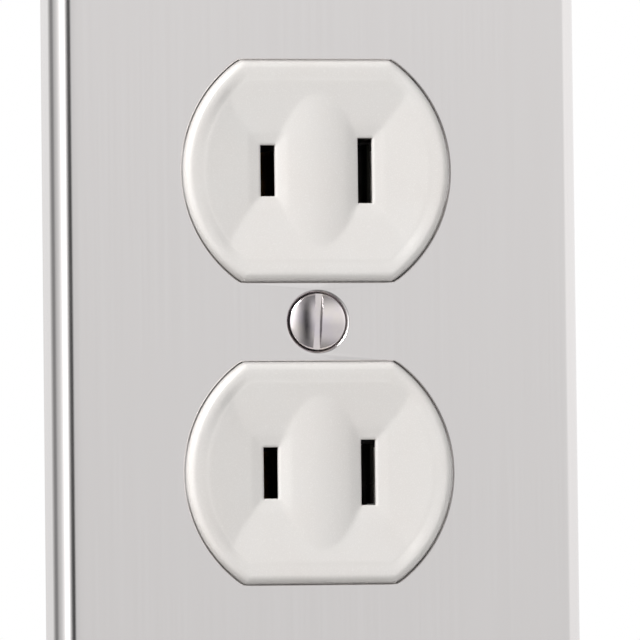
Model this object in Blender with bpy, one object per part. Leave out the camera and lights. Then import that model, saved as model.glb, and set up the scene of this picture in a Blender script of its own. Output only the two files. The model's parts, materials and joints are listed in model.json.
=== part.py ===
"""Duplex wall outlet: a two-slot polarised receptacle behind a one-gang stainless steel wall plate.

Metres, +Z up. X is the width, with +X to the right seen from the front, and the front faces -Y.
The origin is on the plate screw's axis, in the plane of the wall that the plate's rim and the
strap's ears rest on, so +Y goes into the wall box. All pieces stand in their closed, tight places.
"""

import math

import bmesh
import bpy

MM = 0.001

# Standard distances of the device
OUTLET_SPACING = 38.9 * MM
SLOT_SPACING = 12.7 * MM
MOUNTING_SPACING = 83.3 * MM

# Clearances
GAP = 0.3 * MM  # between pieces that rest on each other
THREAD_CLEARANCE = 0.1 * MM  # round a screw's shank in its tapped hole
OVERSHOOT = 1.0 * MM  # how far a cutter reaches past the surface that it cuts

# Wall plate, a drawn stainless sheet
PLATE_WIDTH = 69.85 * MM
PLATE_HEIGHT = 114.3 * MM
PLATE_DEPTH = 5.6 * MM
PLATE_SHEET = 0.8 * MM
PLATE_CORNER = 3.3 * MM
PLATE_BEVEL = 3.3 * MM  # from the rim to the flat face, seen from the front
PLATE_BEND = 2.2 * MM  # radius where the face turns into the bevel
BEVEL_START = math.radians(30)  # slope of the bevel next to the face
BEVEL_END = math.radians(80)  # slope of the skirt at the rim
SMALLEST_CORNER = 0.4 * MM
DIMPLE_RADIUS = 4.1 * MM  # countersunk dimple under the plate screw's head
DIMPLE_DEPTH = 2.1 * MM

# Outlet faces: circles cut flat at top and bottom
FACE_RADIUS = 17.1 * MM
FACE_HALF_HEIGHT = 14.05 * MM
OPENING_RADIUS = 17.5 * MM  # the wall plate's openings round the faces
OPENING_HALF_HEIGHT = 14.35 * MM
FACE_FRONT = -7.3 * MM
FACE_RIM = 1.05 * MM
FUNNEL_DEPTH = 1.3 * MM
RIDGE_DEPTH = 0.54 * MM  # the ridge between the two funnels lies this far under the rim
RIDGE_HALF_WIDTH = 2.4 * MM
RIDGE_HALF_LENGTH = 9.0 * MM
FUNNEL_INNER_EDGE = 0.5 * MM  # where a funnel's inner facet would come out at the rim's level
FUNNEL_OVERRUN = 0.1  # a funnel's cutter goes on past the rim by this share of its depth
RIDGE_OVERRUN = 0.2  # and the ridge's cutter by this share of its own
HOT_SLOT = (2.1 * MM, 6.8 * MM)  # width, height
NEUTRAL_SLOT = (2.1 * MM, 8.6 * MM)

# Mouldings
BODY_WIDTH = 34.6 * MM
BODY_HEIGHT = 70.0 * MM
BODY_CORNER = 2.8 * MM
COVER_FRONT = -3.5 * MM
COVER_BACK = 0.1 * MM
BASE_FRONT = COVER_BACK + GAP
BASE_BACK = 21.5 * MM
BASE_CHAMFER = 0.6 * MM
WELL_HALF_WIDTH = 9.6 * MM  # blocks round the slots that pass through the strap's windows
WELL_HALF_HEIGHT = 7.4 * MM
RECESS_INNER = 13.2 * MM  # half width of the base behind its side recesses
RECESS_BACK = 16.5 * MM
RECESS_HALF_LENGTH = 25.0 * MM
POCKET_INNER = 3.7 * MM
POCKET_BACK = 16.0 * MM
POCKET_HALF_HEIGHT = 5.1 * MM

# Mounting strap
STRAP_SHEET = 1.2 * MM
STRAP_STEP = 0.4 * MM  # the middle lies this far in front of the ears
STRAP_HALF_WIDTH = 12.5 * MM
STRAP_BODY_END = 37.0 * MM
STRAP_NECK_HALF_WIDTH = 10.5 * MM
EAR_HALF_WIDTH = 16.5 * MM
EAR_START = 46.8 * MM
EAR_END = 53.0 * MM
EAR_CORNER = 2.5 * MM
MOUNTING_SLOT_RADIUS = 2.05 * MM
MOUNTING_SLOT_SHIFT = 1.9 * MM  # from the slot's middle to the centre of its round end

# Contact strips
CONTACT_SHEET = 0.6 * MM
SIDE_PLATE_SHEET = 0.8 * MM
SIDE_PLATE_X = 13.5 * MM
SIDE_PLATE_FRONT = 6.0 * MM
SIDE_PLATE_BACK = 15.0 * MM
SIDE_PLATE_HALF_LENGTH = 24.0 * MM
BREAK_TAB_HALF_LENGTH = 2.6 * MM
BREAK_TAB_HALF_WIDTH = 1.5 * MM
CLIP_MOUTH = (1.75 * MM, 1.6 * MM)  # a clip's leaves: half the distance between them, and depth
CLIP_THROAT = (0.85 * MM, 4.5 * MM)
CLIP_REAR = (1.95 * MM, 9.0 * MM)
CLIP_WEB = (1.95 * MM, 14.6 * MM)
CLIP_MARGIN = 0.4 * MM  # the leaves are shorter than the slot by this much at each end

# Terminals
TERMINAL_SPACING = 23.0 * MM
TERMINAL_Y = 10.5 * MM
CLAMP_SHEET = 1.0 * MM
CLAMP_HALF_SIZE = 4.2 * MM
CLAMP_CORNER = 0.8 * MM
CLAMP_HOLE = 2.3 * MM

# Rivets
RIVET_X = BODY_WIDTH / 2 - BODY_CORNER
RIVET_Z = BODY_HEIGHT / 2 - BODY_CORNER
RIVET_SHANK = 1.3 * MM
RIVET_HEAD = 1.8 * MM
RIVET_HEAD_HEIGHT = 0.6 * MM
RIVET_COUNTERBORE = RIVET_HEAD + GAP
RIVET_COUNTERBORE_DEPTH = 1.5 * MM

# Screws
SIX_32 = 1.70 * MM  # shank radii of the two threads
EIGHT_32 = 2.05 * MM
TIP_CHAMFER = 0.5 * MM
PLATE_SCREW_LENGTH = 12.7 * MM
PLATE_SCREW_HEAD = 3.5 * MM
PLATE_SCREW_DOME = 0.9 * MM
PLATE_SCREW_CONE = 1.75 * MM
MOUNTING_SCREW_LENGTH = 25.4 * MM
MOUNTING_SCREW_HEAD = 3.4 * MM
MOUNTING_SCREW_HEAD_HEIGHT = 1.9 * MM
TERMINAL_SCREW_LENGTH = 6.4 * MM
TERMINAL_SCREW_HEAD = 3.9 * MM
TERMINAL_SCREW_HEAD_HEIGHT = 2.0 * MM
PAN_PROFILE = ((0.55, 1.0), (0.85, 0.86), (1.0, 0.5), (1.0, 0.0))  # shares of a head's radius, height
DRIVE_SLOT_WIDTH = 0.9 * MM
DRIVE_SLOT_DEPTH = 0.9 * MM
RETAINER_RADIUS = 4.4 * MM
RETAINER_SHEET = 0.7 * MM

ROUND_SIDES = 24
FACE_ARC_SIDES = 16
CORNER_SIDES = 4
SMALL_SIDES = 16
EDGE_STEPS = 4
SHARP_ANGLE = math.radians(35)

OUTLETS = {"upper": OUTLET_SPACING / 2, "lower": -OUTLET_SPACING / 2}
TERMINALS = {"upper": TERMINAL_SPACING / 2, "lower": -TERMINAL_SPACING / 2}
SIDES = {"hot": -1, "neutral": 1}
SLOTS = {"hot": HOT_SLOT, "neutral": NEUTRAL_SLOT}
QUARTER = math.pi / 2  # about Z, this turns a piece made with its head to -Y so that it faces +X


# ---------------------------------------------------------------- outlines and solids


def arc(centre_x, centre_z, radius, start, end, sides):
    """Points of a round stretch from one angle to another, both included."""
    angles = [start + (end - start) * step / sides for step in range(sides + 1)]
    return [(centre_x + radius * math.cos(a), centre_z + radius * math.sin(a)) for a in angles]


def circle(radius, sides=ROUND_SIDES):
    return arc(0, 0, radius, 0, math.tau, sides)[:-1]


def rounded_rectangle(half_width, half_height, corner, sides=CORNER_SIDES):
    points = []
    for turn, (sx, sz) in enumerate(((1, 1), (-1, 1), (-1, -1), (1, -1))):
        start = turn * math.pi / 2
        centre = (sx * (half_width - corner), sz * (half_height - corner))
        points += arc(*centre, corner, start, start + math.pi / 2, sides)
    return points


def rectangle(low_x, high_x, low_z, high_z):
    return [(low_x, low_z), (high_x, low_z), (high_x, high_z), (low_x, high_z)]


def flattened_circle(radius, half_height):
    """The outlet face's outline: two arcs joined by a flat at top and bottom."""
    reach = math.asin(half_height / radius)
    right = arc(0, 0, radius, -reach, reach, FACE_ARC_SIDES)
    left = arc(0, 0, radius, math.pi - reach, math.pi + reach, FACE_ARC_SIDES)
    return right + left


def oblong(radius, shift):
    """A slot with round ends, lying along X."""
    right = arc(shift, 0, radius, -math.pi / 2, math.pi / 2, ROUND_SIDES // 2)
    left = arc(-shift, 0, radius, math.pi / 2, 3 * math.pi / 2, ROUND_SIDES // 2)
    return right + left


def at_y(outline, y, x=0.0, z=0.0):
    """An outline of (x, z) points as a loop in the plane of that depth, moved by x and z."""
    return [(px + x, y, pz + z) for px, pz in outline]


def closed_mesh(mesh):
    """Turns every face of a closed mesh outwards."""
    mesh.normal_update()
    bmesh.ops.recalc_face_normals(mesh, faces=mesh.faces)
    return mesh


def loft(loops):
    """A closed solid through loops of equal length, with both ends capped."""
    mesh = bmesh.new()
    rings = [[mesh.verts.new(point) for point in loop] for loop in loops]
    for lower, upper in zip(rings, rings[1:]):
        for i in range(len(lower)):
            j = (i + 1) % len(lower)
            mesh.faces.new((lower[i], lower[j], upper[j], upper[i]))
    mesh.faces.new(rings[0])
    mesh.faces.new(rings[-1])
    return closed_mesh(mesh)


def prism(outline, front, back, x=0.0, z=0.0):
    return loft([at_y(outline, front, x, z), at_y(outline, back, x, z)])


def box(low, high):
    outline = rectangle(low[0], high[0], low[2], high[2])
    return prism(outline, low[1], high[1])


def side_box(sign, inner, outer, front, back, low_z, high_z):
    """A box at the -X or the +X side, between two distances from the middle."""
    low_x, high_x = sorted((sign * inner, sign * outer))
    return box((low_x, front, low_z), (high_x, back, high_z))


def turned(profile, sides=ROUND_SIDES):
    """A solid of revolution about the Y axis, from (radius, y) pairs that run from front to back."""
    return loft([at_y(circle(radius, sides), y) for radius, y in profile])


def hull(points):
    mesh = bmesh.new()
    for point in points:
        mesh.verts.new(point)
    result = bmesh.ops.convex_hull(mesh, input=mesh.verts)
    bmesh.ops.delete(mesh, geom=result["geom_interior"], context="VERTS")
    return closed_mesh(mesh)


def offset_line(points, distance):
    """The points of an open line moved sideways by a distance, with mitred corners."""
    moved = []
    for i, (x, y) in enumerate(points):
        before = points[max(i - 1, 0)]
        after = points[min(i + 1, len(points) - 1)]
        here = (x, y)
        normals = []
        for start, end in ((before, here), (here, after)):
            length = math.dist(start, end)
            if length > 0:
                normals.append(((start[1] - end[1]) / length, (end[0] - start[0]) / length))
        nx = sum(n[0] for n in normals) / len(normals)
        ny = sum(n[1] for n in normals) / len(normals)
        scale = distance / (nx * nx + ny * ny)
        moved.append((x + nx * scale, y + ny * scale))
    return moved


def bent_sheet(points, sheet, low_z, high_z):
    """A sheet metal strip: a line of (x, y) bends, as thick as the sheet and as wide as the Z range."""
    side = offset_line(points, sheet / 2)
    other = offset_line(points, -sheet / 2)
    outline = side + other[::-1]
    return loft([[(x, y, z) for x, y in outline] for z in (low_z, high_z)])


# ---------------------------------------------------------------- objects


def clear_scene():
    for thing in list(bpy.data.objects):
        bpy.data.objects.remove(thing, do_unlink=True)


def make_material(name, colour, roughness, metallic):
    material = bpy.data.materials.new(name)
    material.use_nodes = True
    shader = material.node_tree.nodes["Principled BSDF"]
    shader.inputs["Base Color"].default_value = (*colour, 1.0)
    shader.inputs["Roughness"].default_value = roughness
    shader.inputs["Metallic"].default_value = metallic
    material.diffuse_color = (*colour, 1.0)
    return material


def make_object(name, mesh, material=None, location=(0, 0, 0), turn=0.0):
    """An object of one mesh, placed by its location and turned about Z."""
    data = bpy.data.meshes.new(name)
    mesh.to_mesh(data)
    mesh.free()
    thing = bpy.data.objects.new(name, data)
    thing.location = location
    thing.rotation_euler = (0, 0, turn)
    bpy.context.scene.collection.objects.link(thing)
    if material:
        data.materials.append(material)
        data.shade_smooth()
        data.set_sharp_from_angle(angle=SHARP_ANGLE)
    return thing


def apply_tool(target, name, mesh, operation, location, turn):
    """Cuts a helper shape from the target, or joins it on."""
    helper = make_object(f"{target.name}_{name}", mesh, None, location, turn)
    helper.hide_render = True
    helper.display_type = "WIRE"
    modifier = target.modifiers.new(name, "BOOLEAN")
    modifier.operation = operation
    modifier.object = helper


def cut(target, name, mesh, location=(0, 0, 0), turn=0.0):
    apply_tool(target, name, mesh, "DIFFERENCE", location, turn)


def join(target, name, mesh, location=(0, 0, 0), turn=0.0):
    apply_tool(target, name, mesh, "UNION", location, turn)


# ---------------------------------------------------------------- wall plate


def plate_edge():
    """(inset, y, slope) of the plate's outer surface, from the skirt's top end to the flat face.

    The skirt is straight, and the bevel is an arc between the two slopes. The arc's radius and the
    skirt's length follow from the plate's depth and the bevel's width.
    """
    depth = PLATE_DEPTH - PLATE_BEND * (1 - math.cos(BEVEL_START))
    width = PLATE_BEVEL - PLATE_BEND * math.sin(BEVEL_START)
    arc_width = math.sin(BEVEL_END) - math.sin(BEVEL_START)
    arc_depth = math.cos(BEVEL_START) - math.cos(BEVEL_END)
    radius = (width * math.sin(BEVEL_END) - depth * math.cos(BEVEL_END)) / (
        arc_width * math.sin(BEVEL_END) - arc_depth * math.cos(BEVEL_END)
    )
    skirt = (depth - radius * arc_depth) / math.sin(BEVEL_END)
    inset = skirt * math.cos(BEVEL_END)
    y = -skirt * math.sin(BEVEL_END)
    points = []
    for bend, start, end in ((radius, BEVEL_END, BEVEL_START), (PLATE_BEND, BEVEL_START, 0.0)):
        centre_inset = inset + bend * math.sin(start)
        centre_y = y + bend * math.cos(start)
        for step in range(EDGE_STEPS + 1):
            slope = start + (end - start) * step / EDGE_STEPS
            point = (centre_inset - bend * math.sin(slope), centre_y - bend * math.cos(slope), slope)
            if not points or step:
                points.append(point)
        inset, y = points[-1][:2]
    return points


def plate_loop(inset, y):
    corner = max(PLATE_CORNER - inset, SMALLEST_CORNER)
    return at_y(rounded_rectangle(PLATE_WIDTH / 2 - inset, PLATE_HEIGHT / 2 - inset, corner), y)


def make_wall_plate(material):
    edge = plate_edge()
    outer = [plate_loop(0, 0)] + [plate_loop(inset, y) for inset, y, _ in edge]
    inner = [plate_loop(PLATE_SHEET / math.sin(BEVEL_END), 0)]
    for inset, y, slope in edge:
        inner.append(plate_loop(inset + PLATE_SHEET * math.sin(slope), y + PLATE_SHEET * math.cos(slope)))
    plate = make_object("wall_plate", loft(inner[::-1] + outer), material)
    opening = flattened_circle(OPENING_RADIUS, OPENING_HALF_HEIGHT)
    for name, z in OUTLETS.items():
        cut(plate, f"{name}_opening", prism(opening, -PLATE_DEPTH - OVERSHOOT, 0, z=z))
    shank_hole = SIX_32 + GAP
    front = -PLATE_DEPTH
    dimple = [
        (DIMPLE_RADIUS + PLATE_SHEET, front + PLATE_SHEET / 2),
        (DIMPLE_RADIUS + PLATE_SHEET, front + PLATE_SHEET),
        (shank_hole + PLATE_SHEET, front + DIMPLE_DEPTH),
        (shank_hole - PLATE_SHEET, front + DIMPLE_DEPTH),
    ]
    join(plate, "dimple", turned(dimple))
    countersink = [
        (DIMPLE_RADIUS, front - OVERSHOOT),
        (DIMPLE_RADIUS, front),
        (shank_hole, front + DIMPLE_DEPTH - PLATE_SHEET / 2),
        (shank_hole, front + DIMPLE_DEPTH + OVERSHOOT),
    ]
    cut(plate, "countersink", turned(countersink))


# ---------------------------------------------------------------- mouldings


def slot_outline(side):
    width, height = SLOTS[side]
    x = SIDES[side] * SLOT_SPACING / 2
    return rectangle(x - width / 2, x + width / 2, -height / 2, height / 2)


def funnel(side):
    """The recess that leads a blade into its slot: four facets from the face's rim down to the slot."""
    floor = slot_outline(side)
    low_x, high_x = floor[0][0], floor[1][0]
    low_z, high_z = floor[0][1], floor[2][1]
    sign = SIDES[side]
    rim = [
        (x, z)
        for x, z in flattened_circle(FACE_RADIUS - FACE_RIM, FACE_HALF_HEIGHT - FACE_RIM)
        if x * sign > FUNNEL_INNER_EDGE
    ]
    half_height = FACE_HALF_HEIGHT - FACE_RIM
    rim += [(sign * FUNNEL_INNER_EDGE, half_height), (sign * FUNNEL_INNER_EDGE, -half_height)]
    mouth = []
    for x, z in rim:
        near = (min(max(x, low_x), high_x), min(max(z, low_z), high_z))
        mouth.append((x + (x - near[0]) * FUNNEL_OVERRUN, z + (z - near[1]) * FUNNEL_OVERRUN))
    front = FACE_FRONT - FUNNEL_OVERRUN * FUNNEL_DEPTH
    return hull(at_y(floor, FACE_FRONT + FUNNEL_DEPTH) + at_y(mouth, front))


def ridge_cutter():
    """Lowers the ridge between the funnels under the rim, with a slope at its top and bottom end."""
    run = FACE_HALF_HEIGHT - FACE_RIM - RIDGE_HALF_LENGTH
    depth, end = RIDGE_DEPTH, RIDGE_HALF_LENGTH
    high, high_end = -RIDGE_OVERRUN * depth, end + (1 + RIDGE_OVERRUN) * run
    loops = []
    for y, half_length in ((depth, end), (high, high_end)):
        outline = rectangle(-RIDGE_HALF_WIDTH, RIDGE_HALF_WIDTH, -half_length, half_length)
        loops.append(at_y(outline, FACE_FRONT + y))
    return loft(loops)


def rivet_places():
    return {
        f"{row}_{column}": (sx * RIVET_X, 0, sz * RIVET_Z)
        for row, sz in (("upper", 1), ("lower", -1))
        for column, sx in (("left", -1), ("right", 1))
    }


def make_face_cover(material):
    outline = rounded_rectangle(BODY_WIDTH / 2, BODY_HEIGHT / 2, BODY_CORNER)
    cover = make_object("face_cover", prism(outline, COVER_FRONT, COVER_BACK), material)
    strap_front = -STRAP_STEP - STRAP_SHEET
    channel = STRAP_HALF_WIDTH + GAP
    low = (-channel, strap_front - GAP, -BODY_HEIGHT)
    cut(cover, "strap_channel", box(low, (channel, BODY_HEIGHT, BODY_HEIGHT)))
    for row, z in OUTLETS.items():
        face = flattened_circle(FACE_RADIUS, FACE_HALF_HEIGHT)
        join(cover, f"{row}_face", prism(face, FACE_FRONT, COVER_FRONT + OVERSHOOT, z=z))
        well = rounded_rectangle(WELL_HALF_WIDTH, WELL_HALF_HEIGHT, SMALLEST_CORNER)
        join(cover, f"{row}_well", prism(well, strap_front - OVERSHOOT, COVER_BACK, z=z))
        for side in SIDES:
            cut(cover, f"{row}_{side}_funnel", funnel(side), (0, 0, z))
            slot = prism(slot_outline(side), FACE_FRONT, COVER_BACK + OVERSHOOT)
            cut(cover, f"{row}_{side}_slot", slot, (0, 0, z))
        cut(cover, f"{row}_ridge", ridge_cutter(), (0, 0, z))
    dimple_room = [
        (DIMPLE_RADIUS + PLATE_SHEET + GAP, COVER_FRONT - OVERSHOOT),
        (DIMPLE_RADIUS + PLATE_SHEET + GAP, -PLATE_DEPTH + DIMPLE_DEPTH + GAP),
        (SIX_32 + 2 * GAP, -PLATE_DEPTH + DIMPLE_DEPTH + GAP),
        (SIX_32 + 2 * GAP, COVER_BACK + OVERSHOOT),
    ]
    cut(cover, "plate_screw_hole", turned(dimple_room))
    for name, place in rivet_places().items():
        hole = prism(circle(RIVET_SHANK + GAP, SMALL_SIDES), COVER_FRONT - OVERSHOOT, COVER_BACK + OVERSHOOT)
        cut(cover, f"{name}_rivet_hole", hole, place)


def make_body_base(material):
    half = (BODY_WIDTH / 2, BODY_HEIGHT / 2)
    outline = rounded_rectangle(*half, BODY_CORNER)
    back = rounded_rectangle(half[0] - BASE_CHAMFER, half[1] - BASE_CHAMFER, BODY_CORNER - BASE_CHAMFER)
    loops = [at_y(outline, BASE_FRONT), at_y(outline, BASE_BACK - BASE_CHAMFER), at_y(back, BASE_BACK)]
    base = make_object("body_base", loft(loops), material)
    for side, sign in SIDES.items():
        end = RECESS_HALF_LENGTH
        recess = side_box(sign, RECESS_INNER, BODY_WIDTH, -OVERSHOOT, RECESS_BACK, -end, end)
        cut(base, f"{side}_recess", recess)
        for row, z in OUTLETS.items():
            low_z, high_z = z - POCKET_HALF_HEIGHT, z + POCKET_HALF_HEIGHT
            outer = RECESS_INNER + OVERSHOOT
            pocket = side_box(sign, POCKET_INNER, outer, -OVERSHOOT, POCKET_BACK, low_z, high_z)
            cut(base, f"{side}_{row}_pocket", pocket)
        for row, z in TERMINALS.items():
            relief = turned([(EIGHT_32 + 2 * GAP, 0), (EIGHT_32 + 2 * GAP, TERMINAL_SCREW_LENGTH)])
            place = (sign * (RECESS_INNER + OVERSHOOT), TERMINAL_Y, z)
            cut(base, f"{side}_{row}_screw_relief", relief, place, sign * QUARTER)
    room = SIX_32 + 2 * GAP
    tip = PLATE_SCREW_LENGTH - PLATE_DEPTH + 2 * OVERSHOOT
    cut(base, "plate_screw_room", turned([(room, -OVERSHOOT), (room, tip)]))
    for name, place in rivet_places().items():
        profile = [
            (RIVET_SHANK + GAP, -OVERSHOOT),
            (RIVET_SHANK + GAP, BASE_BACK - RIVET_COUNTERBORE_DEPTH),
            (RIVET_COUNTERBORE, BASE_BACK - RIVET_COUNTERBORE_DEPTH),
            (RIVET_COUNTERBORE, BASE_BACK + OVERSHOOT),
        ]
        cut(base, f"{name}_rivet_hole", turned(profile, SMALL_SIDES), place)


# ---------------------------------------------------------------- strap


def make_mounting_strap(material):
    front = -STRAP_STEP - STRAP_SHEET
    half = MOUNTING_SPACING / 2
    quadrant = [
        (STRAP_HALF_WIDTH, STRAP_BODY_END),
        (STRAP_NECK_HALF_WIDTH, STRAP_BODY_END + STRAP_HALF_WIDTH - STRAP_NECK_HALF_WIDTH),
        (STRAP_NECK_HALF_WIDTH, EAR_START + OVERSHOOT),
    ]
    right = [(x, -z) for x, z in reversed(quadrant)] + quadrant
    outline = right + [(-x, -z) for x, z in right]
    strap = make_object("mounting_strap", prism(outline, front, -STRAP_STEP), material)
    ear_middle = (EAR_START + EAR_END) / 2
    ear = rounded_rectangle(EAR_HALF_WIDTH, (EAR_END - EAR_START) / 2, EAR_CORNER)
    for row, sign in (("upper", 1), ("lower", -1)):
        join(strap, f"{row}_ear", prism(ear, -STRAP_SHEET, 0, z=sign * ear_middle))
        slot = oblong(MOUNTING_SLOT_RADIUS, MOUNTING_SLOT_SHIFT)
        cut(strap, f"{row}_slot", prism(slot, front - OVERSHOOT, OVERSHOOT, z=sign * half))
    window = rounded_rectangle(WELL_HALF_WIDTH + GAP, WELL_HALF_HEIGHT + GAP, SMALLEST_CORNER)
    for row, z in OUTLETS.items():
        cut(strap, f"{row}_window", prism(window, front - OVERSHOOT, OVERSHOOT, z=z))
    tapped = circle(SIX_32 + THREAD_CLEARANCE)
    cut(strap, "tapped_hole", prism(tapped, front - OVERSHOOT, OVERSHOOT))


# ---------------------------------------------------------------- contacts and terminals


def make_contact_strip(side, material):
    """One stamped strip: a side plate with a break-off tab, and a sprung clip behind each slot."""
    sign = SIDES[side]
    plate = [
        (SIDE_PLATE_BACK, -SIDE_PLATE_HALF_LENGTH),
        (SIDE_PLATE_BACK, -BREAK_TAB_HALF_LENGTH),
        (TERMINAL_Y + BREAK_TAB_HALF_WIDTH, -BREAK_TAB_HALF_LENGTH),
        (TERMINAL_Y + BREAK_TAB_HALF_WIDTH, BREAK_TAB_HALF_LENGTH),
        (SIDE_PLATE_BACK, BREAK_TAB_HALF_LENGTH),
        (SIDE_PLATE_BACK, SIDE_PLATE_HALF_LENGTH),
        (SIDE_PLATE_FRONT, SIDE_PLATE_HALF_LENGTH),
        (SIDE_PLATE_FRONT, BREAK_TAB_HALF_LENGTH),
        (TERMINAL_Y - BREAK_TAB_HALF_WIDTH, BREAK_TAB_HALF_LENGTH),
        (TERMINAL_Y - BREAK_TAB_HALF_WIDTH, -BREAK_TAB_HALF_LENGTH),
        (SIDE_PLATE_FRONT, -BREAK_TAB_HALF_LENGTH),
        (SIDE_PLATE_FRONT, -SIDE_PLATE_HALF_LENGTH),
    ]
    inside, outside = SIDE_PLATE_X, SIDE_PLATE_X + SIDE_PLATE_SHEET
    loops = [[(sign * x, y, z) for y, z in plate] for x in (inside, outside)]
    strip = make_object(f"{side}_contact_strip", loft(loops), material)
    slot_x = SLOT_SPACING / 2
    leaf = (CLIP_MOUTH, CLIP_THROAT, CLIP_REAR, CLIP_WEB)
    inner = [(slot_x - dx, y) for dx, y in leaf] + [(SIDE_PLATE_X + SIDE_PLATE_SHEET / 2, CLIP_WEB[1])]
    outer = [(slot_x + dx, y) for dx, y in leaf]
    half = SLOTS[side][1] / 2 - CLIP_MARGIN
    for row, z in OUTLETS.items():
        for name, line in (("inner_leaf", inner), ("outer_leaf", outer)):
            leaf_mesh = bent_sheet([(sign * x, y) for x, y in line], CONTACT_SHEET, z - half, z + half)
            join(strip, f"{row}_{name}", leaf_mesh)
    hole_radius = EIGHT_32 + THREAD_CLEARANCE
    for row, z in TERMINALS.items():
        hole = turned([(hole_radius, -OVERSHOOT), (hole_radius, SIDE_PLATE_SHEET + OVERSHOOT)])
        place = (sign * (SIDE_PLATE_X + SIDE_PLATE_SHEET), TERMINAL_Y, z)
        cut(strip, f"{row}_tapped_hole", hole, place, sign * QUARTER)


def make_clamp_plate(side, row, material):
    x = SIDES[side] * (SIDE_PLATE_X + SIDE_PLATE_SHEET + GAP + CLAMP_SHEET)
    place = (x, TERMINAL_Y, TERMINALS[row])
    turn = SIDES[side] * QUARTER
    outline = rounded_rectangle(CLAMP_HALF_SIZE, CLAMP_HALF_SIZE, CLAMP_CORNER, 2)
    mesh = prism(outline, 0, CLAMP_SHEET)
    plate = make_object(f"clamp_plate_{side}_{row}", mesh, material, place, turn)
    hole = prism(circle(CLAMP_HOLE), -OVERSHOOT, CLAMP_SHEET + OVERSHOOT)
    cut(plate, "hole", hole, place, turn)


# ---------------------------------------------------------------- fasteners


def cut_drive_slot(screw, head_front, reach):
    """Cuts the driver slot across a head whose top lies at this local depth."""
    half = DRIVE_SLOT_WIDTH / 2
    mesh = box((-half, head_front - OVERSHOOT, -reach), (half, head_front + DRIVE_SLOT_DEPTH, reach))
    cut(screw, "drive_slot", mesh, screw.location, screw.rotation_euler.z)


def pan_screw(shank, length, head, height):
    """Profile of a screw with a low domed head: its seat is at 0 and its shank runs to +Y."""
    profile = [(head * across, -height * up) for across, up in PAN_PROFILE]
    return profile + [(shank, 0), (shank, length - TIP_CHAMFER), (shank - TIP_CHAMFER, length)]


def make_plate_screw(material):
    """An oval-head screw: a dome over a countersunk cone, with its origin at the plate's face."""
    seat = PLATE_SCREW_CONE
    tip = PLATE_SCREW_LENGTH
    dome = [
        (PLATE_SCREW_HEAD * math.sin(angle), -PLATE_SCREW_DOME * math.cos(angle))
        for angle in (math.radians(a) for a in (20, 40, 60, 80))
    ]
    shank = [(SIX_32, seat), (SIX_32, tip - TIP_CHAMFER), (SIX_32 - TIP_CHAMFER, tip)]
    profile = dome + [(PLATE_SCREW_HEAD, 0)] + shank
    screw = make_object("plate_screw", turned(profile), material, (0, -PLATE_DEPTH, 0))
    cut_drive_slot(screw, -PLATE_SCREW_DOME, 2 * PLATE_SCREW_HEAD)


def make_terminal_screw(side, row, material):
    sign = SIDES[side]
    seat = SIDE_PLATE_X + SIDE_PLATE_SHEET + CLAMP_SHEET + 2 * GAP
    place = (sign * seat, TERMINAL_Y, TERMINALS[row])
    profile = pan_screw(
        EIGHT_32, TERMINAL_SCREW_LENGTH, TERMINAL_SCREW_HEAD, TERMINAL_SCREW_HEAD_HEIGHT
    )
    name = f"terminal_screw_{side}_{row}"
    screw = make_object(name, turned(profile), material, place, sign * QUARTER)
    cut_drive_slot(screw, -TERMINAL_SCREW_HEAD_HEIGHT, 2 * TERMINAL_SCREW_HEAD)


def make_mounting_screw(row, z, material):
    seat = -STRAP_STEP - STRAP_SHEET - GAP
    profile = pan_screw(SIX_32, MOUNTING_SCREW_LENGTH, MOUNTING_SCREW_HEAD, MOUNTING_SCREW_HEAD_HEIGHT)
    screw = make_object(f"mounting_screw_{row}", turned(profile), material, (0, seat, z))
    cut_drive_slot(screw, -MOUNTING_SCREW_HEAD_HEIGHT, 2 * MOUNTING_SCREW_HEAD)


def make_screw_retainer(row, z, material):
    front = -STRAP_STEP + GAP
    outline = circle(RETAINER_RADIUS)
    washer = make_object(f"screw_retainer_{row}", prism(outline, 0, RETAINER_SHEET), material, (0, front, z))
    hole = circle(SIX_32 + THREAD_CLEARANCE)
    cut(washer, "hole", prism(hole, -OVERSHOOT, RETAINER_SHEET + OVERSHOOT), washer.location)


def make_rivet(name, place, material):
    front = COVER_FRONT - GAP
    back = BASE_BACK - RIVET_COUNTERBORE_DEPTH + GAP
    profile = [
        (RIVET_HEAD * 0.8, front - RIVET_HEAD_HEIGHT),
        (RIVET_HEAD, front - RIVET_HEAD_HEIGHT * 0.5),
        (RIVET_HEAD, front),
        (RIVET_SHANK, front),
        (RIVET_SHANK, back),
        (RIVET_HEAD, back),
        (RIVET_HEAD, back + RIVET_HEAD_HEIGHT * 0.5),
        (RIVET_HEAD * 0.8, back + RIVET_HEAD_HEIGHT),
    ]
    make_object(f"assembly_rivet_{name}", turned(profile, SMALL_SIDES), material, place)


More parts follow.
